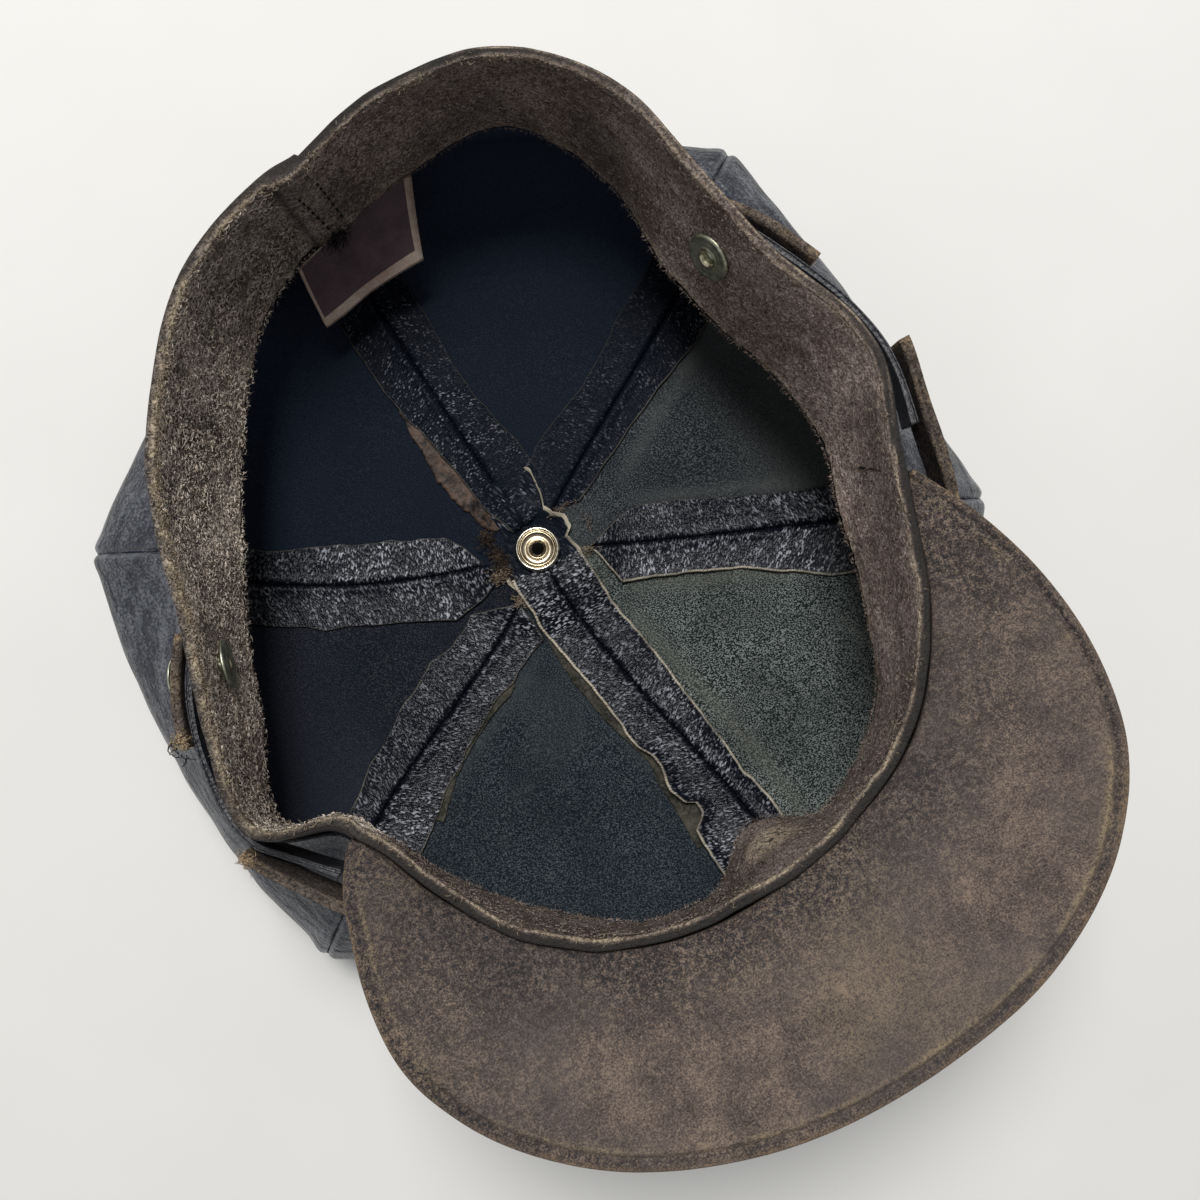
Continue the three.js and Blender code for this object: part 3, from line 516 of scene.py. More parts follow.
def stitches(name, path, up, finish):
    """Short stitches along a path of points that lies on a surface with directions `up`."""
    run = np.concatenate([[0], np.cumsum(np.linalg.norm(np.diff(path, axis=0), axis=1))])
    middles = np.arange(STITCH_PITCH / 2, run[-1], STITCH_PITCH)

    def pick(where, what):
        return np.stack([np.interp(where, run, what[:, k]) for k in range(3)], axis=-1)

    centre = pick(middles, path)
    ahead = unit(pick(middles + 0.5, path) - pick(middles - 0.5, path))
    upward = unit(pick(middles, up))
    across = unit(np.cross(upward, ahead))
    rings, sides = STITCH_RINGS, STITCH_SIDES
    share = np.linspace(-1, 1, rings)
    angle = np.linspace(0, 2 * np.pi, sides, endpoint=False)
    girth = np.sqrt(np.maximum(1 - share**2, 0.05))[:, None]
    a = np.repeat(share * STITCH_LENGTH / 2, sides)
    b = (girth * np.cos(angle) * STITCH_WIDTH / 2).ravel()
    c = (girth * np.sin(angle) * STITCH_HEIGHT / 2 - STITCH_DIP * share[:, None] ** 2).ravel()
    points = (centre[:, None] + ahead[:, None] * a[:, None] + across[:, None] * b[:, None]
              + upward[:, None] * c[:, None])
    ends = [list(range(sides))[::-1], list(range((rings - 1) * sides, rings * sides))]
    walls = [[i + j, i + (j + 1) % sides, i + sides + (j + 1) % sides, i + sides + j]
             for i in range(0, (rings - 1) * sides, sides) for j in range(sides)]
    every = [[k + n * rings * sides for k in face] for n in range(len(centre)) for face in walls + ends]
    return mesh_object(name, points, every, [finish])


# Materials, all in the object's own coordinates
class Finish:
    """A procedural material that is put together node by node."""

    def __init__(self, name, roughness, metallic=0.0, **sockets):
        self.material = bpy.data.materials.new(name)
        self.material.use_nodes = True
        self.tree = self.material.node_tree
        self.shader = self.tree.nodes["Principled BSDF"]
        self.shader.inputs["Metallic"].default_value = metallic
        self.put(self.shader.inputs["Roughness"], roughness)
        for key, value in sockets.items():
            self.shader.inputs[key.replace("_", " ")].default_value = value
        self.place = self.tree.nodes.new("ShaderNodeTexCoord").outputs["Object"]
        self.height = None

    def put(self, socket, value):
        if isinstance(value, bpy.types.NodeSocket):
            self.tree.links.new(value, socket)
        else:
            socket.default_value = value

    def node(self, kind, **settings):
        node = self.tree.nodes.new(kind)
        for key, value in settings.items():
            setattr(node, key, value)
        return node

    def along_piece(self, stretch):
        """Coordinates that follow the piece: its `run`, `side` and `lot` values, in metres."""
        node = self.node("ShaderNodeCombineXYZ")
        for socket, key, factor in zip(node.inputs, ("run", "side", "lot"), stretch):
            self.put(socket, self.times(self.value(key), factor * MM))
        return node.outputs[0]

    def noise(self, size, detail, roughness=0.55, place=None, distortion=0.0):
        node = self.node("ShaderNodeTexNoise")
        self.put(node.inputs["Vector"], place or self.place)
        node.inputs["Scale"].default_value = 1 / (size * MM)
        node.inputs["Detail"].default_value = detail
        node.inputs["Roughness"].default_value = roughness
        node.inputs["Distortion"].default_value = distortion
        return node.outputs["Fac"]

    def pebbles(self, size, place=None):
        """The distance from the middle of each pebble, rounded where two meet."""
        node = self.node("ShaderNodeTexVoronoi", feature="SMOOTH_F1")
        self.put(node.inputs["Vector"], place or self.place)
        node.inputs["Scale"].default_value = 1 / (size * MM)
        return node.outputs["Distance"]

    def ramp(self, value, *stops):
        node = self.node("ShaderNodeValToRGB")
        while len(node.color_ramp.elements) < len(stops):
            node.color_ramp.elements.new(0.5)
        for element, (position, colour) in zip(node.color_ramp.elements, stops):
            element.position = position
            element.color = (*colour, 1) if isinstance(colour, tuple) else (colour, colour, colour, 1)
        self.put(node.inputs["Fac"], value)
        return node.outputs["Color"]

    def fade(self, value, start, end, low, high):
        """Goes from `low` to `high` while the value goes from `start` to `end`."""
        return self.ramp(value, (start, low), (end, high))

    def mix(self, share, a, b, blend="MIX"):
        node = self.node("ShaderNodeMix", data_type="RGBA", blend_type=blend)
        self.put(node.inputs["Factor"], share)
        for socket, value in ((node.inputs[6], a), (node.inputs[7], b)):
            self.put(socket, (*value, 1) if isinstance(value, tuple) else value)
        return node.outputs[2]

    def math(self, operation, a, b):
        node = self.node("ShaderNodeMath", operation=operation)
        self.put(node.inputs[0], a)
        self.put(node.inputs[1], b)
        return node.outputs[0]

    def times(self, a, b):
        return self.math("MULTIPLY", a, b)

    def blend(self, *layers):
        """The sum of sockets, each times its own weight."""
        total = self.times(*layers[0])
        for socket, weight in layers[1:]:
            total = self.math("ADD", total, self.times(socket, weight))
        return total

    def value(self, name):
        return self.node("ShaderNodeAttribute", attribute_name=name).outputs["Fac"]

    def colour(self, socket):
        self.put(self.shader.inputs["Base Color"], socket)

    def bump(self, height, depth, strength):
        """Relief `depth` mm high, on top of the relief that is already there."""
        node = self.node("ShaderNodeBump")
        node.inputs["Distance"].default_value = depth * MM
        node.inputs["Strength"].default_value = strength
        self.put(node.inputs["Height"], height)
        if self.height is not None:
            self.put(node.inputs["Normal"], self.height)
        self.height = node.outputs["Normal"]
        self.put(self.shader.inputs["Normal"], self.height)


# Colours are linear red, green and blue. A nap or grain goes through its colours at places between 0 and 1
# Colour that the band and straps darken to: dirt, painted shade in the band's lap, and the straps' inner
# halves
BAND_SOIL_AND_SHADE = (0.036, 0.033, 0.031)
BAND_CALM_NAP = [(0.42, (0.075, 0.052, 0.045)), (0.5, (0.125, 0.094, 0.082)), (0.58, (0.26, 0.21, 0.19))]
PEAK_NAP = [(0.37, (0.042, 0.032, 0.029)), (0.50, (0.104, 0.080, 0.069)), (0.63, (0.225, 0.167, 0.128))]
PEAK_GREY, PEAK_WORN = (0.082, 0.070, 0.068), (0.24, 0.185, 0.115)
PEAK_TAN, PEAK_SOIL = (0.25, 0.165, 0.09), (0.024, 0.0215, 0.0235)
# Grain colours from dark to light; the light end is painted sheen
CROWN_GRAIN_AND_SHEEN = [(0.40, (0.013, 0.015, 0.023)), (0.5, (0.035, 0.039, 0.050)), (0.61, (0.115, 0.121, 0.137))]
CROWN_WORN = (0.16, 0.165, 0.18)
LIGHT_LIP = (0.52, 0.47, 0.37)
METAL_SPOTS, CLOTH_WEAVE = 2.5, 0.5


def fuzzy_leather(name, dark, middle, light, edge, nap=1.3, toned=False):
    """The fibrous flesh side of thick brown leather. `wear` turns it to the colour of its edge and
    `soil_and_shade` darkens it with dirt and painted shade. Where it is toned, `wild` chooses the rougher nap
    and `tone_and_light` scales its colour, partly its own and partly painted light."""
    finish = Finish(name, 0.96, Specular_IOR_Level=0.12)
    wisps = finish.noise(nap, 2.0, roughness=0.6, distortion=1.6)
    grit = finish.noise(nap * 0.62, 2.0, roughness=0.7, distortion=0.8)
    cloud = finish.noise(17, 4, roughness=0.62)
    pattern = finish.blend((wisps, 0.5), (grit, 0.3), (cloud, 0.2))
    base = finish.ramp(pattern, (0.42, dark), (0.495, middle), (0.57, light))
    if toned:
        base = finish.mix(finish.value("wild"), finish.ramp(pattern, *BAND_CALM_NAP), base)
    worn = finish.times(finish.value("wear"), finish.fade(grit, 0.42, 0.54, 0.15, 1.0))
    base = finish.mix(worn, base, edge)
    if toned:
        # The tone value scales the colour: partly the band's own lighter and darker parts, partly painted
        # light
        base = finish.mix(1.0, base, finish.value("tone_and_light"), "MULTIPLY")
    # Darker with dirt, and with painted shade where the band's lap steps
    finish.colour(finish.mix(finish.value("soil_and_shade"), base, BAND_SOIL_AND_SHADE))
    finish.bump(wisps, 0.9, 0.9)
    finish.bump(grit, 0.5, 0.8)
    return finish.material


def rubbed_leather(name):
    """The peak's face: brown nap that is rubbed dark in clouds and tan at its edges."""
    finish = Finish(name, 0.86, Specular_IOR_Level=0.2)
    nap = finish.noise(0.4, 1.0, roughness=0.6)
    spots = finish.noise(1.3, 3.0, roughness=0.68)
    cloud = finish.noise(8, 3, roughness=0.55)
    broad = finish.noise(40, 3, roughness=0.6)
    base = finish.ramp(finish.blend((nap, 0.45), (spots, 0.25), (cloud, 0.3)), *PEAK_NAP)
    base = finish.mix(finish.fade(broad, 0.44, 0.60, 0.0, 0.4), base, PEAK_GREY)
    rubbed = finish.fade(finish.blend((nap, 0.5), (spots, 0.5)), 0.4, 0.56, 0.1, 1.0)
    base = finish.mix(finish.times(finish.value("wear"), rubbed), base, PEAK_WORN)
    bared = finish.fade(nap, 0.42, 0.56, 0.1, 1.0)
    base = finish.mix(finish.times(finish.value("tan"), bared), base, PEAK_TAN)
    stained = finish.fade(finish.blend((nap, 0.4), (spots, 0.6)), 0.42, 0.60, 1.0, 0.1)
    finish.colour(finish.mix(finish.times(finish.value("soil_and_shade"), stained), base, PEAK_SOIL))
    finish.bump(spots, 0.3, 0.7)
    finish.bump(nap, 0.3, 0.8)
    return finish.material


def grain_leather(name, dark, light, gloss, pebble, relief, edge=(0.20, 0.165, 0.12)):
    """The grain side of leather: small pebbles and fine creases."""
    finish = Finish(name, gloss, Specular_IOR_Level=0.5)
    pebbles = finish.pebbles(pebble)
    crease = finish.noise(0.5, 2, roughness=0.7, distortion=1.2)
    warp = finish.noise(2.4, 2)
    cloud = finish.noise(14, 3)
    base = finish.fade(finish.blend((cloud, 0.6), (warp, 0.4)), 0.38, 0.62, dark, light)
    worn = finish.times(finish.value("wear"), finish.fade(warp, 0.35, 0.6, 0.3, 1.0))
    finish.colour(finish.mix(worn, base, edge))
    finish.bump(warp, 0.35, 0.4)
    finish.bump(finish.fade(pebbles, 0.08, 0.6, 1.0, 0.0), relief, 1.0)
    finish.bump(crease, relief * 0.6, 0.8)
    return finish.material


def crown_leather():
    """The crown's outside: slate-blue worn grain, pebbled, with soft creases that run round the crown. The
    light end of its colours, in bands along the outline, is painted sheen.
    """
    finish = Finish("crown_grain_leather", 0.3, Specular_IOR_Level=0.5)
    follow = finish.along_piece((0.45, 1.0, 1))
    crease = finish.noise(3.4, 2, roughness=0.5, place=follow)
    pebbles = finish.noise(0.75, 1, roughness=0.5)
    cloud = finish.noise(11, 2, roughness=0.5, place=follow)
    base = finish.ramp(finish.blend((pebbles, 0.4), (crease, 0.35), (cloud, 0.25)), *CROWN_GRAIN_AND_SHEEN)
    finish.colour(finish.mix(finish.value("wear"), base, CROWN_WORN))
    finish.bump(crease, 1.1, 0.9)
    finish.bump(pebbles, 0.3, 1.0)
    return finish.material


def allowance_leather(name, dark, glint_colour, mirror, size, reach, relief):
    """The seam allowances' grain: near black, pebbled across the strip, with painted glints in a light colour
    on the pebbles. `reach` is how far a painted glint goes from a pebble's middle to its edge."""
    finish = Finish(name, 0.28, Specular_IOR_Level=mirror)
    follow = finish.along_piece((1.6, 0.85, 1))
    pebbles = finish.pebbles(size, follow)
    uneven = finish.noise(size * 1.6, 1.0, place=follow)
    tiny = finish.noise(0.36, 0.0, place=follow)
    cloud = finish.noise(7, 2, place=follow)
    # Painted glints: a light colour on the pebbles, patchy in clouds, stands in for their highlights
    light = finish.fade(pebbles, reach - 0.2, reach, 1.0, 0.0)
    light = finish.times(light, finish.fade(cloud, 0.38, 0.58, 0.2, 1.0))
    light = finish.times(light, finish.fade(uneven, 0.42, 0.56, 0.05, 1.0))
    base = finish.mix(finish.times(light, finish.value("glint_paint")), dark, glint_colour)
    finish.colour(finish.mix(finish.value("wear"), base, LIGHT_LIP))
    finish.bump(finish.fade(pebbles, 0.05, 0.6, 1.0, 0.0), relief, 1.0)
    finish.bump(tiny, relief * 0.5, 0.9)
    return finish.material


def suede(name, dark, light, speck, contrast=0.06, worn=(0.13, 0.135, 0.112)):
    """The napped flesh side of the thin crown leather, with short light strokes of nap."""
    finish = Finish(name, 0.97, Specular_IOR_Level=0.06)
    slant = finish.node("ShaderNodeMapping")
    finish.put(slant.inputs["Vector"], finish.place)
    slant.inputs["Rotation"].default_value = (0, 0, math.radians(75))
    slant.inputs["Scale"].default_value = (0.75, 1.1, 1.0)
    nap = finish.noise(0.4, 1.0, roughness=0.5, place=slant.outputs[0])
    cloud = finish.noise(30, 4, roughness=0.6)
    low, high = 0.5 - contrast, 0.5 + contrast
    base = finish.fade(nap, low, high, dark, light)
    base = finish.mix(finish.fade(nap, high, high + contrast, 0.0, 0.9), base, speck)
    base = finish.mix(finish.fade(cloud, 0.42, 0.62, 0.0, 0.42), base, dark)
    # The worn colour is real wear, and also painted light high up on some panels
    rubbed = finish.times(finish.value("wear"), finish.fade(nap, 0.3, 0.6, 0.5, 1.0))
    finish.colour(finish.mix(rubbed, base, worn))
    finish.bump(nap, 0.55, 0.9)
    return finish.material


def raw_edge(name, dark, light, size=1.0, roughness=0.9):
    """A cut or torn edge of leather, or its fibres."""
    finish = Finish(name, roughness, Specular_IOR_Level=0.2)
    speckle = finish.noise(size, 3, roughness=0.7, distortion=1.0)
    spots = finish.noise(6, 2)
    finish.colour(finish.fade(finish.blend((speckle, 0.6), (spots, 0.4)), 0.40, 0.58, dark, light))
    finish.bump(speckle, 0.35, 0.9)
    return finish.material


def metal(name, bright, dull, roughness):
    finish = Finish(name, roughness, metallic=1.0)
    spots = finish.noise(METAL_SPOTS, 4, roughness=0.65)
    finish.colour(finish.fade(spots, 0.4, 0.58, dull, bright))
    finish.bump(finish.noise(0.5, 2), 0.03, 0.5)
    return finish.material


def plain_cloth(name, dark, light, gloss=0.3):
    finish = Finish(name, 0.65, Specular_IOR_Level=gloss)
    weave = finish.noise(CLOTH_WEAVE, 2)
    cloud = finish.noise(7, 3)
    finish.colour(finish.fade(finish.blend((weave, 0.4), (cloud, 0.6)), 0.38, 0.62, dark, light))
    finish.bump(weave, 0.08, 0.6)
    return finish.material


FINISH = {
    "band": fuzzy_leather(
        "band_leather", (0.022, 0.018, 0.017), (0.105, 0.086, 0.075), (0.40, 0.34, 0.29),
        (0.46, 0.375, 0.265), nap=1.2, toned=True),
    "strap": fuzzy_leather(
        "strap_leather", (0.028, 0.023, 0.021), (0.070, 0.058, 0.052), (0.15, 0.122, 0.105),
        (0.33, 0.24, 0.15)),
    "peak": rubbed_leather("peak_leather"),
    "brown_grain": grain_leather(
        "brown_grain_leather", (0.025, 0.021, 0.02), (0.06, 0.048, 0.042), 0.5, 1.3, 0.1),
    "crown_grain": crown_leather(),
    # Both allowance finishes paint glints on their pebbles; the dim copy, for the back seams in the band's
    # shade and the leather round the snap, paints fainter ones
    "flap": allowance_leather(
        "allowance_leather", (0.0055, 0.007, 0.012), (0.52, 0.535, 0.60), 0.28, 0.9, 0.47, 0.3),
    "flap_dim_glint": allowance_leather(
        "dim_glint_allowance_leather", (0.0065, 0.0088, 0.0145), (0.26, 0.27, 0.31), 0.04, 0.9, 0.36, 0.25),
    "strip_grain": grain_leather(
        "strip_grain_leather", (0.005, 0.006, 0.010), (0.018, 0.020, 0.028), 0.4, 0.9, 0.12,
        edge=(0.05, 0.05, 0.055)),
    "flesh_green": suede(
        "green_grey_flesh", (0.013, 0.019, 0.019), (0.10, 0.119, 0.117), (0.23, 0.255, 0.245), 0.03),
    # Its worn colour is real wear, and painted light high up on the right panel
    "flesh_grey": suede(
        "dark_grey_flesh", (0.012, 0.015, 0.019), (0.042, 0.051, 0.057), (0.10, 0.112, 0.115), 0.05,
        worn=(0.088, 0.095, 0.095)),
    "flesh_blue": suede(
        "blue_grey_flesh", (0.011, 0.015, 0.021), (0.034, 0.043, 0.054), (0.08, 0.095, 0.105), 0.05,
        worn=(0.06, 0.07, 0.075)),
    # The black and brown flesh show their worn colours only as painted light, high up where the band shades
    # them
    "flesh_black": suede(
        "black_flesh", (0.0085, 0.012, 0.021), (0.0125, 0.0172, 0.0285), (0.019, 0.025, 0.036),
        worn=(0.030, 0.042, 0.070)),
    "flesh_brown": suede(
        "brown_black_flesh", (0.0085, 0.0115, 0.018), (0.0175, 0.0215, 0.031), (0.052, 0.050, 0.053),
        worn=(0.030, 0.034, 0.048)),
    "olive_flesh": raw_edge("olive_flesh", (0.018, 0.018, 0.014), (0.085, 0.079, 0.062)),
    "brown_scrap": raw_edge("brown_scrap", (0.007, 0.006, 0.006), (0.095, 0.06, 0.043), 2.4, roughness=0.5),
    "thread": plain_cloth("dark_thread", (0.006, 0.006, 0.008), (0.016, 0.015, 0.016)),
    "tan_fibre": raw_edge("tan_fibre", (0.11, 0.085, 0.06), (0.36, 0.285, 0.20)),
    "tan_end": raw_edge("tan_end_fibre", (0.13, 0.095, 0.06), (0.52, 0.395, 0.25), 1.5),
    "brown_fibre": raw_edge("brown_fibre", (0.07, 0.053, 0.046), (0.30, 0.235, 0.20), 2.0),
    "dark_fibre": raw_edge("dark_fibre", (0.016, 0.011, 0.009), (0.10, 0.07, 0.05)),
    "grey_fibre": raw_edge("grey_fibre", (0.12, 0.10, 0.085), (0.84, 0.73, 0.62), 2.0),
    "label": plain_cloth("label_cloth", (0.070, 0.045, 0.053), (0.110, 0.072, 0.082)),
    "label_border": plain_cloth("label_border", (0.36, 0.26, 0.21), (0.58, 0.47, 0.40)),
    "steel": metal("nickel", (0.80, 0.77, 0.67), (0.5, 0.47, 0.38), 0.26),
    "gold": metal("worn_gold", (0.76, 0.66, 0.49), (0.52, 0.42, 0.28), 0.3),
    "brass": metal("tarnished_brass", (0.68, 0.69, 0.53), (0.38, 0.40, 0.29), 0.42),
    "bright_brass": metal("bright_brass", (0.85, 0.8, 0.58), (0.5, 0.45, 0.3), 0.28),
    # A near-black plug with painted shade, in place of the snap's deep hole
    "hole": plain_cloth("painted_hole_shade", (0.002, 0.002, 0.002), (0.004, 0.004, 0.004), gloss=0.02),
}


# The camera looks straight down from above the snap, turned so that the peak comes to the lower right
CAMERA_PLACE, CAMERA_TURN, CAMERA_LENS = (7.3, -23.1, 367.5), -33.1, 36
camera = link(bpy.data.objects.new("camera", bpy.data.cameras.new("camera")))
camera.data.lens = CAMERA_LENS
camera.data.sensor_width = CAMERA_LENS
camera.data.clip_start = 0.01
camera.location = np.array(CAMERA_PLACE) * MM + AXIS
camera.rotation_euler = (0, 0, math.radians(CAMERA_TURN))
bpy.context.scene.camera = camera

# The floor: half its width in metres, the size of its clouds in mm and its two colours
FLOOR_HALF, FLOOR_CLOUDS = 2, 60
FLOOR_DARK, FLOOR_LIGHT = (0.765, 0.757, 0.735), (0.785, 0.777, 0.755)
floor_finish = Finish("pale_floor", 0.7, Specular_IOR_Level=0.2)
floor_finish.colour(floor_finish.fade(floor_finish.noise(FLOOR_CLOUDS, 2), 0.3, 0.7, FLOOR_DARK, FLOOR_LIGHT))
floor_mesh = bpy.data.meshes.new("floor")
floor_corners = [(-1, -1), (1, -1), (1, 1), (-1, 1)]
floor_mesh.from_pydata([(x * FLOOR_HALF, y * FLOOR_HALF, 0) for x, y in floor_corners], [], [(0, 1, 2, 3)])
floor_mesh.materials.append(floor_finish.material)
floor = link(bpy.data.objects.new("floor", floor_mesh))


# The room is lighter near the horizon than overhead: colours low and high, where they lie, strength
SKY_LOW, SKY_HIGH = (0.96, 0.98, 1.0, 1), (0.38, 0.385, 0.39, 1)
SKY_FADE, SKY_STRENGTH = (0.45, 0.95), 0.48
LAMP_TARGET = (0, 0, 0.05)


def make_world():
    world = bpy.data.worlds.new("studio")
    world.use_nodes = True
    nodes, links = world.node_tree.nodes, world.node_tree.links
    direction = nodes.new("ShaderNodeTexCoord")
    split = nodes.new("ShaderNodeSeparateXYZ")
    fade = nodes.new("ShaderNodeValToRGB")
    links.new(direction.outputs["Generated"], split.inputs[0])
    links.new(split.outputs["Z"], fade.inputs["Fac"])
    for element, place, colour in zip(fade.color_ramp.elements, SKY_FADE, (SKY_LOW, SKY_HIGH)):
        element.position = place
        element.color = colour
    links.new(fade.outputs["Color"], nodes["Background"].inputs["Color"])
    nodes["Background"].inputs["Strength"].default_value = SKY_STRENGTH
    bpy.context.scene.world = world
    bpy.context.scene.view_settings.view_transform = "Standard"


def soft_light(name, energy, size, image_angle, height, distance, colour):
    """A square lamp that shines on the cap. `image_angle` is its place round the picture, 90 at the top."""
    lamp = bpy.data.lights.new(name, "AREA")
    lamp.energy = energy
    lamp.size = size
    lamp.color = colour
    angle = math.radians(image_angle + CAMERA_TURN)
    place = Vector((distance * math.cos(angle), distance * math.sin(angle), height))
    holder = link(bpy.data.objects.new(name, lamp))
    holder.location = place
    holder.rotation_euler = (Vector(LAMP_TARGET) - place).to_track_quat("-Z", "Y").to_euler()


make_world()
soft_light("window", energy=19.5, size=0.5, image_angle=100, height=1.36, distance=0.6,
           colour=(1.0, 0.99, 0.97))


# The band. Its rim from the inner to the outer corner: share of the wall, height above the last row
RIM_EDGE = [(0.0, 0.35), (0.03, 0.7), (0.1, 0.98), (0.2, 1.06), (0.34, 0.97), (0.5, 0.93), (0.66, 0.96),
            (0.8, 1.0), (0.9, 0.82), (0.97, 0.45)]
LOW_EDGE = [(0.95, -0.5), (0.75, -0.9), (0.5, -1.0), (0.25, -0.9), (0.05, -0.5)]
FIRST_ROW, LAST_ROW, INSIDE_ROWS, OUTSIDE_ROWS = 0.022, 0.978, 48, 14
# Steps round the head. Each end of the lap has two close steps of its own, and the others keep clear of them
BAND_STEPS, LAP_CLEAR, LAP_HAIR = 720, 0.2, 0.16
# How much thinner the two ends of the band are at the lap
SKIVE = 1.3
# The bump that the front seam pushes into the band: azimuth and share, radius in mm, mm in a degree there
BUMP_PLACE, BUMP_RADIUS, BUMP_SCALE = (5.8, 0.4), 6.0, 1.66
# Parts of the band by azimuth: middle and half width
LEFT_SIDE, UPPER_RIGHT, WILD_SIDE, LAP_MIDDLE = (240, 75), (115, 40), (240, 100), (179.5, 5)


def band_surface_spot(azimuth, share):
    """A point on the band's inside with its directions along the band, up the wall and inwards."""
    azimuth, share = np.broadcast_arrays(np.asarray(azimuth, float), np.asarray(share, float))
    point = at(azimuth, band_inside(azimuth, share), band_height(azimuth, share))
    point = point + at(azimuth, 1.0, 0.0) * band_relief(point)[..., None]
    turn_step, share_step = 0.4, 0.02

    def wall(turn, level):
        return at(turn, band_inner(turn, level), band_height(turn, level))

    here = wall(azimuth, share)
    ahead = unit(wall(azimuth + turn_step, share) - here)
    up = unit(wall(azimuth, share + share_step) - here)
    return point, ahead, up, unit(np.cross(up, ahead))


def band_azimuths():
    turns = np.linspace(0, 360, BAND_STEPS, endpoint=False)
    ends = np.array([end + side * LAP_HAIR for end in (LAP_OUTER_END, LAP_INNER_END) for side in (-1, 1)])
    clear = np.min(np.abs(turns[:, None] - ends), axis=1) > LAP_CLEAR
    return np.unique(np.concatenate([turns[clear], ends]))


def band_rows():
    """The band's cross-section: share of its height, share of its wall from the inside, height above that."""
    rows = [(share, 0.0, 0.0) for share in np.linspace(FIRST_ROW, LAST_ROW, INSIDE_ROWS)]
    rows += [(LAST_ROW, across, up) for across, up in RIM_EDGE]
    rows += [(share, 1.0, 0.0) for share in np.linspace(LAST_ROW, FIRST_ROW, OUTSIDE_ROWS)]
    rows += [(FIRST_ROW, across, up) for across, up in LOW_EDGE]
    return np.array(rows).T


def band_points(turn, share, across, up, inside, low):
    """The band's surface, with the thinned ends of its lap, its fuzz and its ragged lower edge."""
    radius = lerp(band_inside(turn, share), band_outside(turn, share), across)
    radius = radius - SKIVE * across * bell(turn, LAP_OUTER_END, 3.0) * (turn > LAP_OUTER_END)
    radius = radius + SKIVE * (1 - across) * bell(turn, LAP_INNER_END, 2.2) * (turn < LAP_INNER_END)
    points = at(turn, radius, band_height(turn, share) + up)
    fuzz = rough(points, 5, 2) * 0.25 + noise(points, 1.9, 3.0) * 0.22
    points = points + at(turn, 1.0, 0.0) * (band_relief(points) + fuzz * inside)[..., None]
    ragged = rough(points, 2.6, 2, 3.1) * 0.6 + rough(points, 14, 2, 5.0) * 0.5
    points[..., 2] += ragged * low + rough(points, 9, 2, 9.0) * 0.3 * smooth((share - 0.9) / 0.1)
    return points


def band_wear(points, turn, share, across, rim, inside, low, bump):
    """The rim is worn along a line between its inner and its outer corner, and more widely on the left."""
    left = hump(turn, *LEFT_SIDE)
    broken = 0.55 + 0.9 * rough(points, 7, 2, 1.7)
    flecked = smooth(rough(points, 2.6, 2, 8.2) * 1.6 + 0.55)
    line = lerp(0.05, 0.8, smooth((turn - 58) / 25) * smooth((172 - turn) / 20))
    wear = rim * bell(across, line, 0.09) * lerp(0.9, 0.15, left) * (broken + 0.2) * lerp(0.5, 1.0, flecked)
    wear = wear + rim * bell(across, 0.35, 0.3) * 1.1 * left * flecked
    wear = wear + 0.3 * smooth((share - 0.95) / 0.03) * inside * broken + 0.35 * low * (across < 0.9)
    return wear + 0.75 * smooth(bump * 2.2)


def band_soil_and_shade(points, turn, share, across, rim, inside, wear, bump):
    """The rim is burnished dark where it isn't worn. The lap is darker near the lower edge, a painted shadow
    runs down the inner end of the lap, and dirt lies in clouds and on the bump.
    """
    left = hump(turn, *LEFT_SIDE)
    spared = np.maximum(hump(turn, *UPPER_RIGHT), 0.7 * left)
    burnish = rim * smooth((across - 0.1) / 0.15) * lerp(1.0, 0.2, spared)
    burnish = np.clip(burnish - wear * 0.8, 0, 1)
    # Painted shadow: a dark line down the inner end of the lap, beside its step
    crease = bell(turn, LAP_INNER_END - 0.5, 0.5) * inside * smooth((1 - share) / 0.1)
    soil_and_shade = burnish + 0.45 * hump(turn, *LAP_MIDDLE) * bell(share, 0.03, 0.12) * inside + 0.7 * crease
    soil_and_shade = soil_and_shade + 0.35 * smooth((rough(points, 20, 3, 2.2) - 0.1) / 0.5) * inside * (1 - left)
    return soil_and_shade + 0.85 * smooth(bump * 1.6 - 0.3) * smooth(noise(points, 0.3, 6.0) * 4 - 0.2)


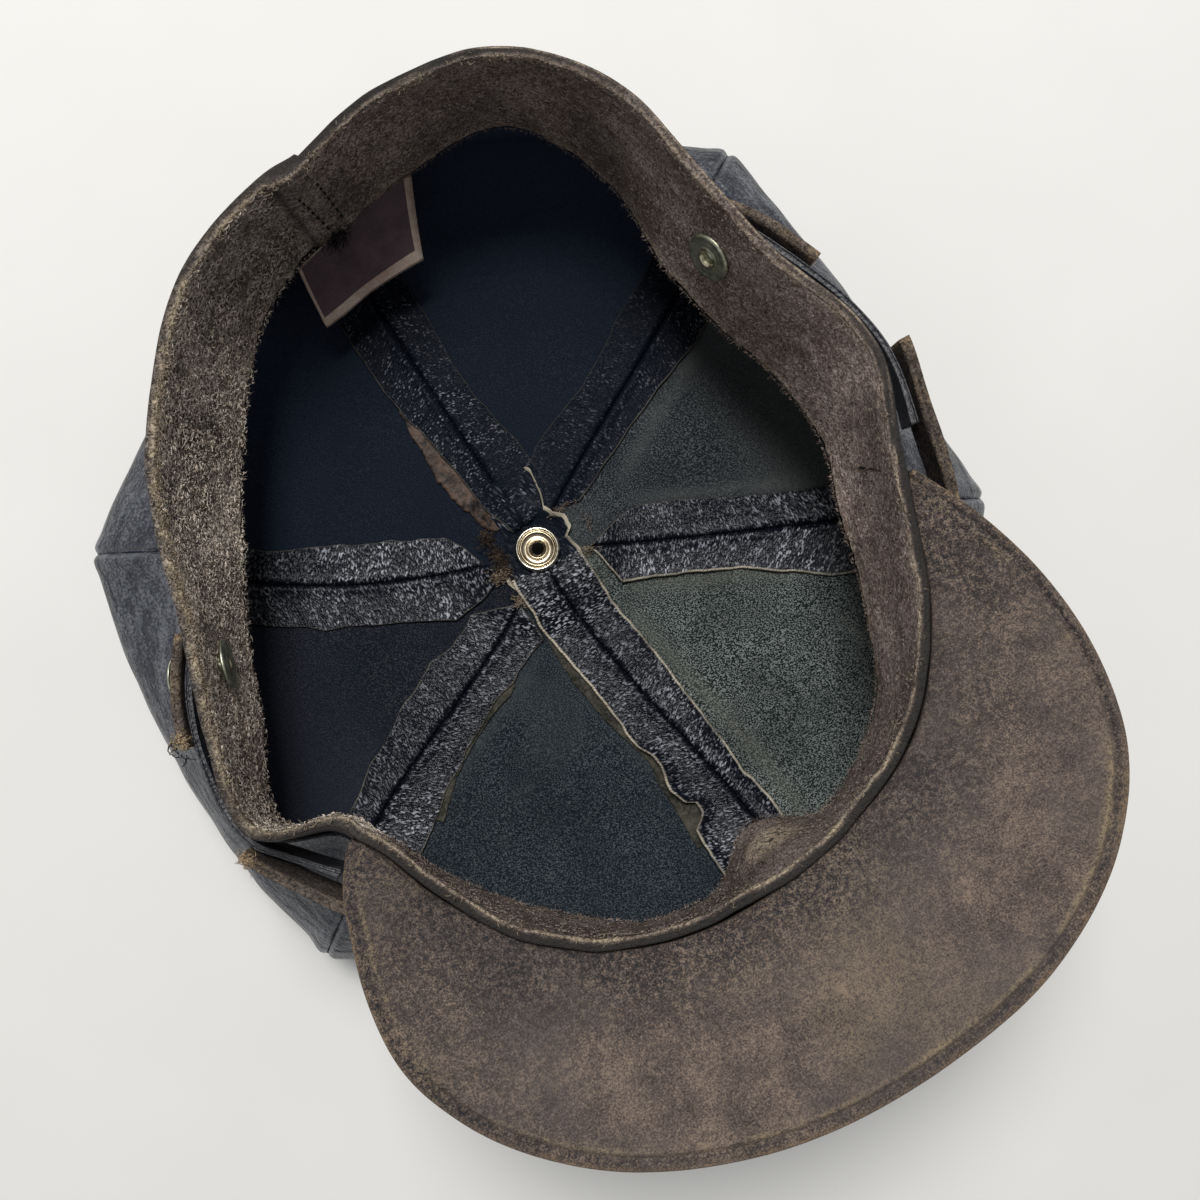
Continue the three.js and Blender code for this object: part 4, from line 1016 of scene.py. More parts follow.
def make_band():
    share, across, up = band_rows()
    turn = band_azimuths()[:, None]
    inside, rim = across < 0.5, up > 0.3
    low = smooth(1 - share / 0.1)
    points = band_points(turn, share, across, up, inside, low)
    beside = (np.mod(turn - BUMP_PLACE[0] + 180, 360) - 180) * BUMP_SCALE
    bump = bell(np.hypot(beside, (share - BUMP_PLACE[1]) * BAND_HEIGHT), 0, BUMP_RADIUS) * inside
    points = points - at(turn, 1.0, 0.0) * (bump * (0.5 + 0.12 * noise(points, 1.8, 1.0)))[..., None]
    wear = band_wear(points, turn, share, across, rim, inside, low, bump)
    soil_and_shade = band_soil_and_shade(points, turn, share, across, rim, inside, wear, bump)
    # Tone round the head: partly the leather's own colour, partly painted light for walls that the lamp
    # lights less; the worn bump is lighter
    tone_and_light = np.interp(np.mod(turn, 360), BAND_TONE_AND_LIGHT[:, 0], BAND_TONE_AND_LIGHT[:, 1])
    tone_and_light = tone_and_light * (1 + 0.3 * rough(points, 24, 2, 4.4)) + bump * 0.35
    values = {"wear": np.clip(wear, 0, 1), "soil_and_shade": np.clip(soil_and_shade, 0, 1),
              "tone_and_light": np.clip(np.where(rim, 1.0, tone_and_light), 0.1, 4),
              "wild": np.broadcast_to(hump(turn, *WILD_SIDE) * 0.9 + 0.1, soil_and_shade.shape)}
    slots = np.where((across > 0.96) & (up <= 0), 1, 0)
    piece = swept("band_leather", points, ["band", "brown_grain"], closed=True, values=values,
                  slot_of=slots)
    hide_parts("band")


# Fibres on the band's inside: name, first and last azimuth, count, longest, finish
BAND_FIBRES = [("left", 184, 300, 9000, 2.0, "grey_fibre"), ("right", 300, 536, 4200, 1.5, "brown_fibre")]
# Hairs along the rim and the lower edge, and the thinnest and thickest of all three kinds
FUZZ_COUNT, FRINGE_COUNT, FRINGE_STEPS = 2400, 2000, 3
FIBRE_WIDTHS, FUZZ_WIDTHS, FRINGE_WIDTHS = (0.22, 0.48), (0.18, 0.34), (0.16, 0.3)


def band_fibres():
    for name, start, end, count, longest, finish in BAND_FIBRES:
        azimuth = RANDOM.uniform(start, end, count)
        share = np.clip(RANDOM.uniform(-0.01, 0.985, count), 0.0, 0.98)
        roots, ahead, up, inward = band_surface_spot(azimuth, share)
        lengths = RANDOM.uniform(0.45, 1.0, count) * longest
        paths = curls(roots + inward * 0.12, ahead, up, inward, lengths)
        piece = tubes("band_fibres_" + name, paths, RANDOM.uniform(*FIBRE_WIDTHS, count), finish)


def rim_fuzz():
    """A fuzzy ridge along the rim's inner corner, thickest on the left."""
    count = FUZZ_COUNT
    mostly_left = RANDOM.random(count) < 0.75
    azimuth = np.where(mostly_left, RANDOM.normal(238, 26, count), RANDOM.uniform(0, 360, count))
    roots, ahead, up, inward = band_surface_spot(azimuth, RANDOM.normal(0.992, 0.008, count))
    roots = roots - inward * RANDOM.uniform(0.0, 0.7, count)[:, None]
    paths = curls(roots, ahead, inward, up, RANDOM.uniform(0.6, 1.6, count))
    piece = tubes("rim_fuzz", paths, RANDOM.uniform(*FUZZ_WIDTHS, count), "tan_fibre")


def band_fringe():
    """A ragged fringe along the lower edge."""
    count = FRINGE_COUNT
    azimuth = RANDOM.uniform(0, 360, count)
    roots, ahead, up, inward = band_surface_spot(azimuth, np.full(count, 0.004))
    inwards = RANDOM.uniform(0.0, 1.2, count)[:, None]
    sideways = RANDOM.normal(size=count)[:, None]
    aim = unit(inward * inwards - up + ahead * sideways * 0.6)
    share = np.linspace(0, 1, FRINGE_STEPS)[None, :, None]
    lengths = RANDOM.uniform(0.3, 1.2, count)[:, None, None]
    bend = RANDOM.normal(size=(count, 1, 3)) * 0.35
    paths = roots[:, None] + (aim[:, None] * share + bend * share**2) * lengths
    piece = tubes("band_fringe", paths, RANDOM.uniform(*FRINGE_WIDTHS, count), "brown_fibre")


# Seams of the lap on the band's inside, from the top down, and the slit, from its lower end up: azimuth and
# share at both ends
LAP_SEAMS = [((177.3, 0.72), (176.9, 0.16)), ((180.7, 0.72), (179.4, 0.05))]
SLIT, SLIT_WIDTH, LAP_CORNER = ((68.8, 0.40), (66.8, 0.80)), 0.9, (179.3, 0.02)


def band_line(start, end, steps):
    """Points along a line on the band's inside, with their directions inwards."""
    azimuth, share = (np.linspace(*ends, steps) for ends in zip(start, end))
    point, _, _, inward = band_surface_spot(azimuth, share)
    return point, inward


def make_lap_seams():
    for number, (top, bottom) in enumerate(LAP_SEAMS):
        point, inward = band_line(top, bottom, 30)
        piece = stitches("lap_seam_%d" % (number + 1), point + inward * 0.35, inward, "thread")
    point, inward = band_line(*SLIT, 6)
    cut = tubes("band_slit", (point + inward * 0.05)[None], np.array([SLIT_WIDTH]), "thread")
    corner, _, _, _ = band_surface_spot(*LAP_CORNER)
    tuft("lap_fray", corner, (1.6, 1.2, 1.2), 110, 2.6, "thread", width=0.35)


# The crown. A panel's mesh: rows up it, columns across it, and how far these draw together at its seams
PANEL_ROWS, PANEL_COLUMNS, PANEL_DRAW = 110, 66, 0.6
# Stations between which a panel's leather can move, and how soon it gets free there
FREE_FROM, FREE_TO, FREE_FADE = 3.2, 13.2, 1.5
# How deep a panel rolls into its seam, and how much it puffs out beside it
ROLL, PUFF = 1.2, 0.4
# How far the surfaces draw together in the seam, outside and inside
PINCH_OUTSIDE, PINCH_INSIDE = 0.1, 0.01


def panel_azimuth(index, station, share):
    """Azimuths across a panel, whose shares 0 and 1 lie on its two seams, and the panel's whole angle."""
    before, after = panel_seams(index)
    start = seam_azimuth(before, seam_share(station))
    end = seam_azimuth(after, seam_share(station))
    return lerp(start, end, share), end - start


def freedom(station):
    return smooth((station - FREE_FROM) / FREE_FADE) * smooth((FREE_TO - station) / FREE_FADE)


def panel_waves(index, outer, station, away):
    """How far soft dents push a panel in; `away` is the distance to its nearer seam."""
    free = freedom(station) * lerp(0.3, 1.0, smooth((station - 5.2) / 1.6))
    waves = rough(outer, 46, 3, 2.0 + index) * 2.0 + rough(outer, 15, 2, 8.0 + index) * 0.55
    return waves * free * smooth(away / 9)


def panel_faces(index, station, share, away, outer, inner):
    """The panel's outside and inside. Two panels meet in their seam, and part again on the outside."""
    inward = unit(inner - outer)
    free = freedom(station)
    waves = panel_waves(index, outer, station, away)
    moved = ROLL * bell(away, 0, 0.9) - PUFF * bell(away, 3.0, 2.2) * free + waves
    outside = outer + inward * moved[..., None]
    outside[..., 2] = np.maximum(outside[..., 2], 0.02)
    inside = inner + inward * (waves * 0.8 + 0.3 * rough(inner, 9, 2, 3.3) * free)[..., None]
    tangent = unit(np.gradient(outer, axis=1))
    pinch = (np.where(share < 0.5, 1, -1) * bell(away, 0, 0.6))[..., None]
    return outside + tangent * pinch * PINCH_OUTSIDE, inside + tangent * pinch * PINCH_INSIDE


def flesh_wear_and_painted_light(index, run, reach, away, inner):
    """How light a panel's inside is: worn in clouds, beside its seam allowances and round the snap; high up
    on the black, brown and right panels it is painted light that lifts the band's shade.
    """
    name, _, flesh = PANELS[index]
    # Black and brown panels: no wear, only painted light, lighter high up where the band shades them
    if flesh in ("flesh_black", "flesh_brown"):
        return np.clip(smooth((reach - 62) / 45), 0, 1)
    scuff = smooth((rough(inner, 22, 3, 6.0) - 0.35) / 0.3) * 0.3
    beside = 0.5 * bell(away, 13.5, 2.5) * smooth((run - 25) / 20)
    wear = scuff + (beside + 0.4 * smooth(1 - (reach - 12) / 16))
    # Painted light: the right panel is lighter high up, where the band shades it
    if name == "right":
        wear = wear + smooth((reach - 58) / 30)
    return np.clip(wear, 0, 1)


def make_panel(index):
    name, straight, flesh = PANELS[index]
    run = np.linspace(SEAM_RUN[0], SEAM_RUN[-1], PANEL_ROWS)[:, None]
    station = station_at(run)
    even = np.linspace(0, 1, PANEL_COLUMNS)
    share = lerp(even, (1 - np.cos(np.pi * even)) / 2, PANEL_DRAW)[None, :]
    azimuth, width = panel_azimuth(index, station, share)
    outline = outline_radius(share, *panel_seams(index), straight)
    outer = crown_point(station, azimuth, outline, 0.0)
    inner = crown_point(station, azimuth, outline, CROWN_WALL)
    reach = np.hypot(outer[..., 0], outer[..., 1])
    away = np.minimum(share, 1 - share) * np.radians(width) * reach
    outside, inside = panel_faces(index, station, share, away, outer, inner)
    lip = 0.6 * bell(away, 0.9, 0.5) * (0.6 + 0.5 * rough(outer, 8, 2))
    across = np.radians(azimuth - azimuth.mean(axis=1, keepdims=True)) * reach
    along_run = np.broadcast_to(run, across.shape)
    values = {
        "wear": round_sheet(np.clip(lip, 0, 1), flesh_wear_and_painted_light(index, run, reach, away, inner)),
        "run": round_sheet(across, across),
        "side": round_sheet(along_run, along_run),
        "lot": np.full((PANEL_ROWS, 2 * PANEL_COLUMNS), 40.0 * index),
    }
    slots = np.concatenate([np.zeros(PANEL_COLUMNS, int), np.ones(PANEL_COLUMNS, int)])
    piece = swept("panel_" + name, round_sheet(outside, inside), ["crown_grain", flesh],
                  pairs=True, values=values, slot_of=slots)
    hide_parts("crown_panel_" + name)


def flap_point(seam, side, run, across, height):
    """A point `run` mm from the axis, `across` mm from the seam and `height` mm above the panel."""
    panel = seam if side > 0 else (seam - 1) % len(SEAMS)
    before, after = panel_seams(panel)
    base = seam_azimuth(before if side > 0 else after, seam_share(station_at(run)))
    reach = np.interp(run, SEAM_RUN, SEAM_RADIUS)
    fade = 1 - smooth((run - 60) / 30)
    station = station_at(run + (np.hypot(reach, across) - reach) * fade)
    azimuth = base + side * np.degrees(np.arctan2(across, reach))
    here = seam_share(station)
    start, end = seam_azimuth(before, here), seam_azimuth(after, here)
    share = np.clip((azimuth - start) / (end - start), 0, 1)
    outline = outline_radius(share, before, after, PANELS[panel][1])
    outer = crown_point(station, azimuth, outline, 0.0)
    dent = 0.8 * panel_waves(panel, outer, station, across)
    return crown_point(station, azimuth, outline, CROWN_WALL + dent + height)


# A seam allowance: rows along it, where it ends under the band, how narrow it may get, how far it starts from
# its seam, and how far apart the patterns of two of them lie
FLAP_ROWS, FLAP_END = 170, np.interp(12.4, STATIONS, SEAM_RUN)
FLAP_NARROWEST, FLAP_INSET, LOT_STEP = 0.35, 0.08, 9.0
# How far across a seam allowance its columns of points lie, up to its lip
FLAP_COLUMNS = np.array([0, 0.03, 0.06, 0.09, 0.13, 0.17, 0.22, 0.28, 0.34, 0.4, 0.46, 0.52, 0.58, 0.64, 0.7,
                         0.76, 0.81, 0.86, 0.91, 0.95, 0.98, 1])
# The front seam's free edges stand up towards the band: by side, how far from the axis it starts, how high
FRONT_STEPS = {-1: (66, 1.7), 1: (70, 0.9)}
# How high the leather may stand under the snap, and how steeply it may rise beside it
UNDER_SNAP, SNAP_SLOPE = 0.75, 1.2


def flap_height(row, run, across, width, line, lot, patchy):
    """How high a seam allowance's upper face stands above the panel."""
    seam, side, lift, folds, _, lip, _ = row
    to_edge = width - across
    texture = np.stack(np.broadcast_arrays(run, across * 0.3, lot), axis=-1)
    broad = np.stack(np.broadcast_arrays(run, across * 0.8, lot + 3.0), axis=-1)
    ridges = ridged(texture, 3.1, 1.1) * 0.6 + ridged(texture, 1.7, 4.2) * 0.3
    height = 0.2 + 0.95 * smooth(across / 0.8) + 0.5 * bell(across, 1.7, 1.2)
    waves = rough(broad, 19, 2, 2.0) * 0.55 + ridges * folds * 0.75 * patchy
    height = height + waves * smooth(across / 2.5)
    height = height + lift * (1 - smooth((run - 15) / 12))
    height = height + lip * 0.8 * bell(to_edge, 0, 1.3) * (0.55 + 0.45 * noise(line, 9.0, 8.0))
    if seam == 0:
        start, step = FRONT_STEPS[side]
        height = height + smooth((run - start) / 5) * smooth(to_edge / -5 + 1) * step
    height = np.maximum(height, 0.12) * smooth(width / 3.5)
    from_axis = np.hypot(np.interp(run, SEAM_RUN, SEAM_RADIUS), across)
    return np.minimum(height, UNDER_SNAP + SNAP_SLOPE * np.maximum(0, from_axis - 7.6))


def make_flap(name):
    seam, side, _, _, gloss, lip, outline = FLAPS[name]
    outline = np.array(outline)
    run = np.linspace(outline[0, 0], FLAP_END, FLAP_ROWS)[:, None]
    lot = LOT_STEP * (2 * seam + (side + 1) / 2)
    line = np.stack([run, 0 * run, 0 * run + lot], axis=-1)
    width = np.interp(run, outline[:, 0], outline[:, 1]) + noise(line, 6.0) * 0.35 + noise(line, 2.2) * 0.15
    width = np.maximum(width, FLAP_NARROWEST)
    lip_width = np.minimum(0.2 + 0.6 * lip, width * 0.3)
    across = np.concatenate([(width - lip_width) * FLAP_COLUMNS, width - lip_width * 0.5, width], axis=1)
    across = across + FLAP_INSET
    patchy = smooth(noise(line, 17.0, 5.0) + 0.55)
    height = flap_height(FLAPS[name], run, across, width, line, lot, patchy)
    top = flap_point(seam, side, run, across, height)
    brink_height = np.maximum(height[:, -1:] - 0.4 * FLAP_WALL, 0.05)
    brink = flap_point(seam, side, run, across[:, -1:] + 0.25, brink_height)
    under = flap_point(seam, side, run, np.maximum(across - 0.1, 0.05), np.maximum(height - FLAP_WALL, 0.03))
    root = flap_point(seam, side, run, across[:, :1] - 0.06, height[:, :1] * 0.5)
    loops = np.concatenate([top, brink, under[:, ::-1], root], axis=1)
    count = across.shape[1]
    chipped = np.clip(lip * (0.75 + 0.5 * noise(line, 5.0, 7.0)), 0.06, 1)
    wear = np.zeros(loops.shape[:2])
    wear[:, count - 2:count + 1] = chipped
    # How much painted glint shows: the gloss column scales it, and it fades by the seam groove and the free
    # edge
    glint_paint = gloss * (0.2 + 0.8 * smooth((across - 0.3) / 1.0)) * (0.5 + 0.6 * patchy)
    glint_paint = glint_paint * smooth((width - across) / 0.8 + 0.4)
    bare = np.zeros((FLAP_ROWS, count + 2))
    values = {
        "wear": wear,
        "glint_paint": np.concatenate([np.clip(glint_paint, 0, 1), bare], axis=1),
        "side": np.concatenate([across, across[:, -1:], across[:, ::-1], across[:, :1]], axis=1),
        "run": np.broadcast_to(run, wear.shape),
        "lot": np.full(wear.shape, lot * 5),
    }
    slots = np.array([0] * count + [1] * (count + 1) + [0])
    # The back seams lie in the band's shade and take the copy with dimmer painted glints
    main = "flap_dim_glint" if seam in (2, 3) else "flap"
    piece = swept("allowance_" + name, loops, [main, "olive_flesh"], pairs=True,
                  values=values, slot_of=slots)


# A scrap's mesh, how far it reaches in below its seam allowance and how ragged its edge is
SCRAP_ROWS, SCRAP_COLUMNS, SCRAP_TUCK = 150, 9, 2.0
RAGGEDNESS = {"brown_scrap": 1.0, "olive_flesh": 0.35}


def make_scrap(name):
    seam, side, finish, outline = SCRAPS[name]
    outline = np.array(outline)
    flap = next(np.array(row[6]) for row in FLAPS.values() if row[:2] == (seam, side))
    run = np.linspace(outline[0, 0], outline[-1, 0], SCRAP_ROWS)[:, None]
    line = np.stack([run, 0 * run, 0 * run + seam], axis=-1)
    ragged = RAGGEDNESS[finish]
    outer = np.interp(run, outline[:, 0], outline[:, 1])
    outer = outer + (noise(line, 5.0) * 0.6 + noise(line, 1.6) * 0.45) * ragged
    inner = np.interp(run, flap[:, 0], flap[:, 1]) - SCRAP_TUCK
    across = lerp(inner, np.maximum(outer, inner + 0.4), np.linspace(0, 1, SCRAP_COLUMNS)[None, :])
    flat = np.stack(np.broadcast_arrays(run, across, 3.0 * seam), axis=-1)
    height = 0.55 + 0.25 * noise(flat, 5.0) + ragged * 0.3 * noise(flat, 2.0)
    height = height + 0.3 * bell(outer - across, 0, 0.8)
    top = flap_point(seam, side, run, across, height)
    under = flap_point(seam, side, run, across, np.maximum(height - 0.5, 0.02))
    piece = swept("scrap_" + name, round_sheet(top, under), [finish], pairs=True)


# The leather round the snap: steps round it, its inner radius, its columns, and where its lip curls up
MIDDLE_STEPS, MIDDLE_START, MIDDLE_LOT = 208, 4.8, 300
MIDDLE_COLUMNS = np.concatenate([np.linspace(0, 0.86, 20), [0.89, 0.915, 0.94, 0.96, 0.982, 1.0]])
MIDDLE_LIPS = [(46, 157), (283, 313)]


def make_middle():
    """The black leather round the snap, with its curled light lip over the seams' inner ends."""
    azimuth = np.linspace(0, 360, MIDDLE_STEPS, endpoint=False)[:, None]
    edge = np.interp(azimuth, MIDDLE[:, 0], MIDDLE[:, 1]) + noise(at(azimuth, 20.0, 0.0), 3.5) * 0.5
    reach = lerp(MIDDLE_START, edge, MIDDLE_COLUMNS[None, :])
    lipped = sum(np.where((azimuth > start) & (azimuth < end), 1.0, 0.0) for start, end in MIDDLE_LIPS)
    flat = at(azimuth, reach, 0.0)
    x, y = flat[..., 0], flat[..., 1]
    slanted = np.stack([x * 0.9 + y * 0.3, (y - x * 0.5) * 0.25, 0 * reach], axis=-1)
    height = 0.4 + smooth((reach - 8.2) / 4) * (0.35 + 1.1 * hump(azimuth, 140, 80))
    height = height + smooth((reach - 8) / 3) * (0.5 * ridged(slanted, 2.2) + 0.3 * noise(flat, 6.0))
    height = np.maximum(height, 0.3) + lipped * 0.9 * bell(edge - reach, 0, 0.9)
    height = np.minimum(height, 0.7 + SNAP_SLOPE * np.maximum(0, reach - 7.4))
    station = station_at(reach)
    top = crown_point(station, azimuth, CROWN_RADIUS, CROWN_WALL + height)
    under = crown_point(station, azimuth, CROWN_RADIUS, CROWN_WALL + np.maximum(height - 0.8, 0.03))
    wear = smooth((reach - edge + 1.1) / 0.3) * lipped * (0.8 + 0.3 * noise(flat, 3.0))
    wear = np.clip(wear, 0, 1)
    rest = np.zeros_like(reach)
    values = {
        "wear": round_sheet(wear, wear),
        # Painted glints on the wrinkles, from 8 mm out from the snap, in patches
        "glint_paint": round_sheet(smooth((reach - 8) / 3) * 0.9 * smooth(noise(flat, 7.0, 4.0) + 0.7), rest),
        "run": round_sheet(slanted[..., 0], rest),
        "side": round_sheet(slanted[..., 1] * 1.6, rest),
        "lot": round_sheet(rest + MIDDLE_LOT, rest + MIDDLE_LOT),
    }
    piece = swept("middle_leather", round_sheet(top, under), ["flap_dim_glint"], closed=True, values=values)


# Clumps of fibres at the torn inner ends: name, place about the axis, spread, count, length, finish
TUFTS = [
    ("right_tip", (12.7, -8.8), (0.7, 0.6), 40, 1.4, "tan_fibre"),
    ("front_knot", (-13.3, -10.0), (0.8, 0.9), 60, 1.6, "tan_fibre"),
    ("left_fuzz", (-11.3, 3.2), (1.2, 2.6), 240, 1.3, "dark_fibre"),
    ("left_blob", (-14.0, -0.8), (1.5, 1.1), 170, 1.1, "tan_fibre"),
    ("back_fuzz", (-11.5, 10.5), (1.4, 1.8), 130, 1.2, "dark_fibre"),
    ("right_specks", (16.9, -1.3), (0.9, 1.9), 40, 0.8, "brown_fibre"),
    ("upper_end", (12.7, 6.4), (2.4, 0.5), 60, 0.8, "brown_fibre"),
]

# How high the clumps start above the crown's inside, and how deep they are
TUFT_LIFT, TUFT_DEPTH = 1.2, 0.3


def make_tufts():
    for name, (x, y), (wide, deep), count, length, finish in TUFTS:
        height = np.interp(math.hypot(x, y), SEAM_RADIUS[:300], SEAM_HEIGHT[:300]) + CROWN_WALL + TUFT_LIFT
        spread = (wide, deep, TUFT_DEPTH)
        tuft("fibres_" + name, (x, y, height), spread, count, length, finish)


# The peak's mesh: rows round it, and its columns from the band to its edge, closer together near the edge
PEAK_ROWS = 270
PEAK_COLUMNS = np.concatenate([np.linspace(0, 0.9, 56), np.linspace(0.91, 1, 24)])[None, :]
# Its cut edge shows two layers, with a groove between them: how far out, how far down as a share of the wall
PEAK_EDGE = [(0.42, 0.10), (0.62, 0.28), (0.42, 0.44), (0.12, 0.5), (0.42, 0.56), (0.62, 0.74), (0.4, 0.92)]
# Lines along the edge: how deep they are pressed in, distance from the edge, width
PEAK_LINES = [(0.6, 0, 0.8), (0.6, 2.4, 0.7), (-0.35, 3.7, 0.7)]
# What the edge between the two faces gets, and the underside as a share of the face: wear, tan, soil
PEAK_EDGE_VALUES, PEAK_UNDER_SHARES = (0.35, 0.55, 0.1), (0.4, 0.3, 0.0)
STEEPEST = 1.8


def peak_face(azimuth, share):
    reach = open_value(PEAK_SECTIONS, 1, azimuth)
    rise = open_value(PEAK_SECTIONS, 2, azimuth)
    height = rim_height(azimuth) - PEAK_BELOW + rise * lerp(share, np.sin(np.pi / 2 * share), 0.5)
    root = band_outside(azimuth, band_share(azimuth, height)) + GAP
    return at(azimuth, lerp(root, reach, share), height)


def edge_distance(top):
    """How far each point of the peak's face is from its free edge."""
    fine = np.linspace(0, len(top) - 1, 12 * len(top))
    outline = np.stack([np.interp(fine, np.arange(len(top)), top[:, -1, k]) for k in range(3)], axis=-1)
    tree = KDTree(len(outline))
    for number, point in enumerate(outline):
        tree.insert(point, number)
    tree.balance()
    return np.array([tree.find(point)[2] for point in top.reshape(-1, 3)]).reshape(top.shape[:2])


def peak_normals(top):
    """Directions off the peak's face, none of them level."""
    gradient = np.cross(np.gradient(top, axis=1), np.gradient(top, axis=0))
    up = unit(gradient) * np.sign(gradient[..., 2:3])
    up[..., 2] = np.maximum(up[..., 2], 0.35)
    return unit(up)


def peak_finish(top, azimuth, from_edge, from_band):
    """How worn the peak's face is, how tan towards its edge and ends and how soiled towards the band."""
    broken = 0.5 + 0.9 * rough(top, 8, 3, 3.0)
    left_end = smooth((-44 - azimuth) / 10)
    right_end = smooth((azimuth - 57) / 6)
    wear = bell(from_edge, 3.6, 0.75) * broken + smooth((rough(top, 36, 3, 5.5) - 0.1) / 0.6) * 0.3
    tan = bell(from_edge, 0, 1.1) * (0.25 + 0.6 * broken + 0.3 * left_end)
    tan = tan + 0.5 * right_end * bell(from_edge, 0, 2.2)
    tan = 0.75 * tan + 0.22 * left_end * smooth(1 - from_edge / 9) * broken
    dark_ends = hump(azimuth, -46, 30) * 0.5 + hump(azimuth, 52, 16) * 0.3
    soil_and_shade = bell(from_edge, 1.7, 1.0) * 0.75 + bell(from_band, 0, 15) * (0.85 + 0.6 * rough(top, 17, 2, 9.0))
    soil_and_shade = soil_and_shade + dark_ends + 0.25 * smooth((rough(top, 24, 2, 7.0) - 0.2) / 0.5)
    return [np.clip(value, 0, 1) for value in (wear, tan, soil_and_shade)]


def make_peak():
    azimuth = np.linspace(PEAK_SECTIONS[0, 0], PEAK_SECTIONS[-1, 0], PEAK_ROWS)[:, None]
    top = peak_face(azimuth, PEAK_COLUMNS)
    from_edge = edge_distance(top)
    from_band = np.linalg.norm(top - top[:, :1], axis=-1)
    carve = sum(depth * bell(from_edge, place, width) for depth, place, width in PEAK_LINES)
    press = 0.35 * bell(PEAK_COLUMNS * 60, 0, 3.0)
    waves = rough(top, 48, 3, 1.0) * 0.7 + rough(top, 9, 2, 2.0) * 0.1
    moved = waves * smooth(PEAK_COLUMNS / 0.1) - carve - press
    top = top + peak_normals(top) * moved[..., None]
    across = top[:, -1] - top[:, 0]
    slope = np.linalg.norm(across, axis=-1) / np.maximum(np.linalg.norm(across[:, :2], axis=-1), 1)
    down = (PEAK_WALL * np.minimum(slope, STEEPEST))[:, None]
    under = top.copy()
    under[..., 2] -= down - 0.5 * bell(from_edge, 0, 0.7)
    outward, drop = at(azimuth, 1.0, 0.0)[:, 0], np.array([0, 0, 1.0]) * down
    brink = np.stack([top[:, -1] + outward * out - drop * share for out, share in PEAK_EDGE], axis=1)
    values = {}
    finish = peak_finish(top, azimuth, from_edge, from_band)
    for key, face, edge, below in zip(("wear", "tan", "soil_and_shade"), finish, PEAK_EDGE_VALUES, PEAK_UNDER_SHARES):
        middle = np.full(brink.shape[:2], edge)
        values[key] = np.concatenate([face, middle, face[:, ::-1] * below], axis=1)
    loops = np.concatenate([top, brink, under[:, ::-1]], axis=1)
    slots = np.array([0] * (top.shape[1] + len(PEAK_EDGE)) + [1] * top.shape[1])
    piece = swept("peak_leather", loops, ["peak", "brown_grain"], values=values, slot_of=slots)
    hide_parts("peak")


# Straps, strips and tabs stand on edge round the band
def band_wall(azimuth, height):
    return band_outside(azimuth, band_share(azimuth, height))


def strip_inner(side, azimuth, height):
    """The inner face of a side strip, which keeps clear of the band."""
    sections = STRIPS[side]
    wall = band_wall(azimuth, height)
    lean = open_value(sections, 2, azimuth) * (wall - band_wall(azimuth, rim_height(azimuth) - STRAP_LINE))
    return np.maximum(open_value(sections, 1, azimuth) - STRIP_WALL + lean, wall + GAP)


def over_strip(side, azimuth, height):
    return strip_inner(side, azimuth, height) + STRIP_WALL + GAP


def front_inner(azimuth, height):
    radius = np.maximum(open_value(FRONT_STRAP, 1, azimuth) - STRAP_WALL, band_wall(azimuth, height) + GAP)
    for side, sections in STRIPS.items():
        over = (azimuth > sections[0, 0]) & (azimuth < sections[-1, 0])
        radius = np.where(over, np.maximum(radius, over_strip(side, azimuth, height)), radius)
    return radius


# Edges of the straps: share of the wall, how far the edge stands out as a share of the width
ONE_LAYER = [(0.95, 0.0), (0.8, 0.03), (0.5, 0.035), (0.2, 0.03), (0.05, 0.0)]
TWO_LAYERS = [(0.97, 0.0), (0.85, 0.03), (0.68, 0.03), (0.5, -0.03), (0.32, 0.03), (0.15, 0.03), (0.03, 0.0)]
FOLDED = [(0.98, 0.0), (0.86, 0.06), (0.7, 0.05), (0.6, -0.06), (0.5, 0.03), (0.4, 0.05), (0.3, -0.05),
          (0.18, 0.05), (0.04, 0.0)]
STRAP_COLUMNS, STRAP_HALF_FACE = 12, 0.46
STRAP_ROWS, STRIP_ROWS, TAB_ROWS = 240, 150, 70


def make_strap(name, start, end, inner, wall, width, finish, node, relief, rows):
    """A strap whose cross-section has an outer face, two edges and an inner face."""
    azimuth = np.linspace(start, end, rows)[:, None]
    faces = np.linspace(-STRAP_HALF_FACE, STRAP_HALF_FACE, STRAP_COLUMNS)
    section = [(s, 1.0) for s in faces] + [(0.5 + lift, depth) for depth, lift in relief]
    section += [(s, 0.0) for s in faces[::-1]] + [(-0.5 - lift, depth) for depth, lift in relief[::-1]]
    s, d = np.array(section).T
    height = rim_height(azimuth) - STRAP_LINE + s * width
    points = at(azimuth, inner(azimuth, height) + d * wall, height)
    points = points + at(azimuth, 1.0, 0.0) * (0.35 * rough(points, 16, 2, 4.0) * (d > 0.5))[..., None]
    points[..., 2] += 0.45 * rough(points, 18, 2, 6.0) * np.sign(s)
    on_edge = (np.abs(s) > 0.49) & (d > 0.02) & (d < 0.98)
    to_end = np.minimum(azimuth - start, end - azimuth)
    frayed = 1.2 * bell(to_end, 0, 1.5) * (0.7 + 0.6 * noise(points, 2.0))
    wear = on_edge * (0.2 + 0.5 * rough(points, 7, 2, 2.0)) + frayed
    # The half towards the band is darker
    values = {"wear": np.clip(wear, 0, 1), "soil_and_shade": np.broadcast_to(0.25 * (d < 0.5), wear.shape)}
    piece = swept(name, points, [finish], values=values)
    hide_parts(node)


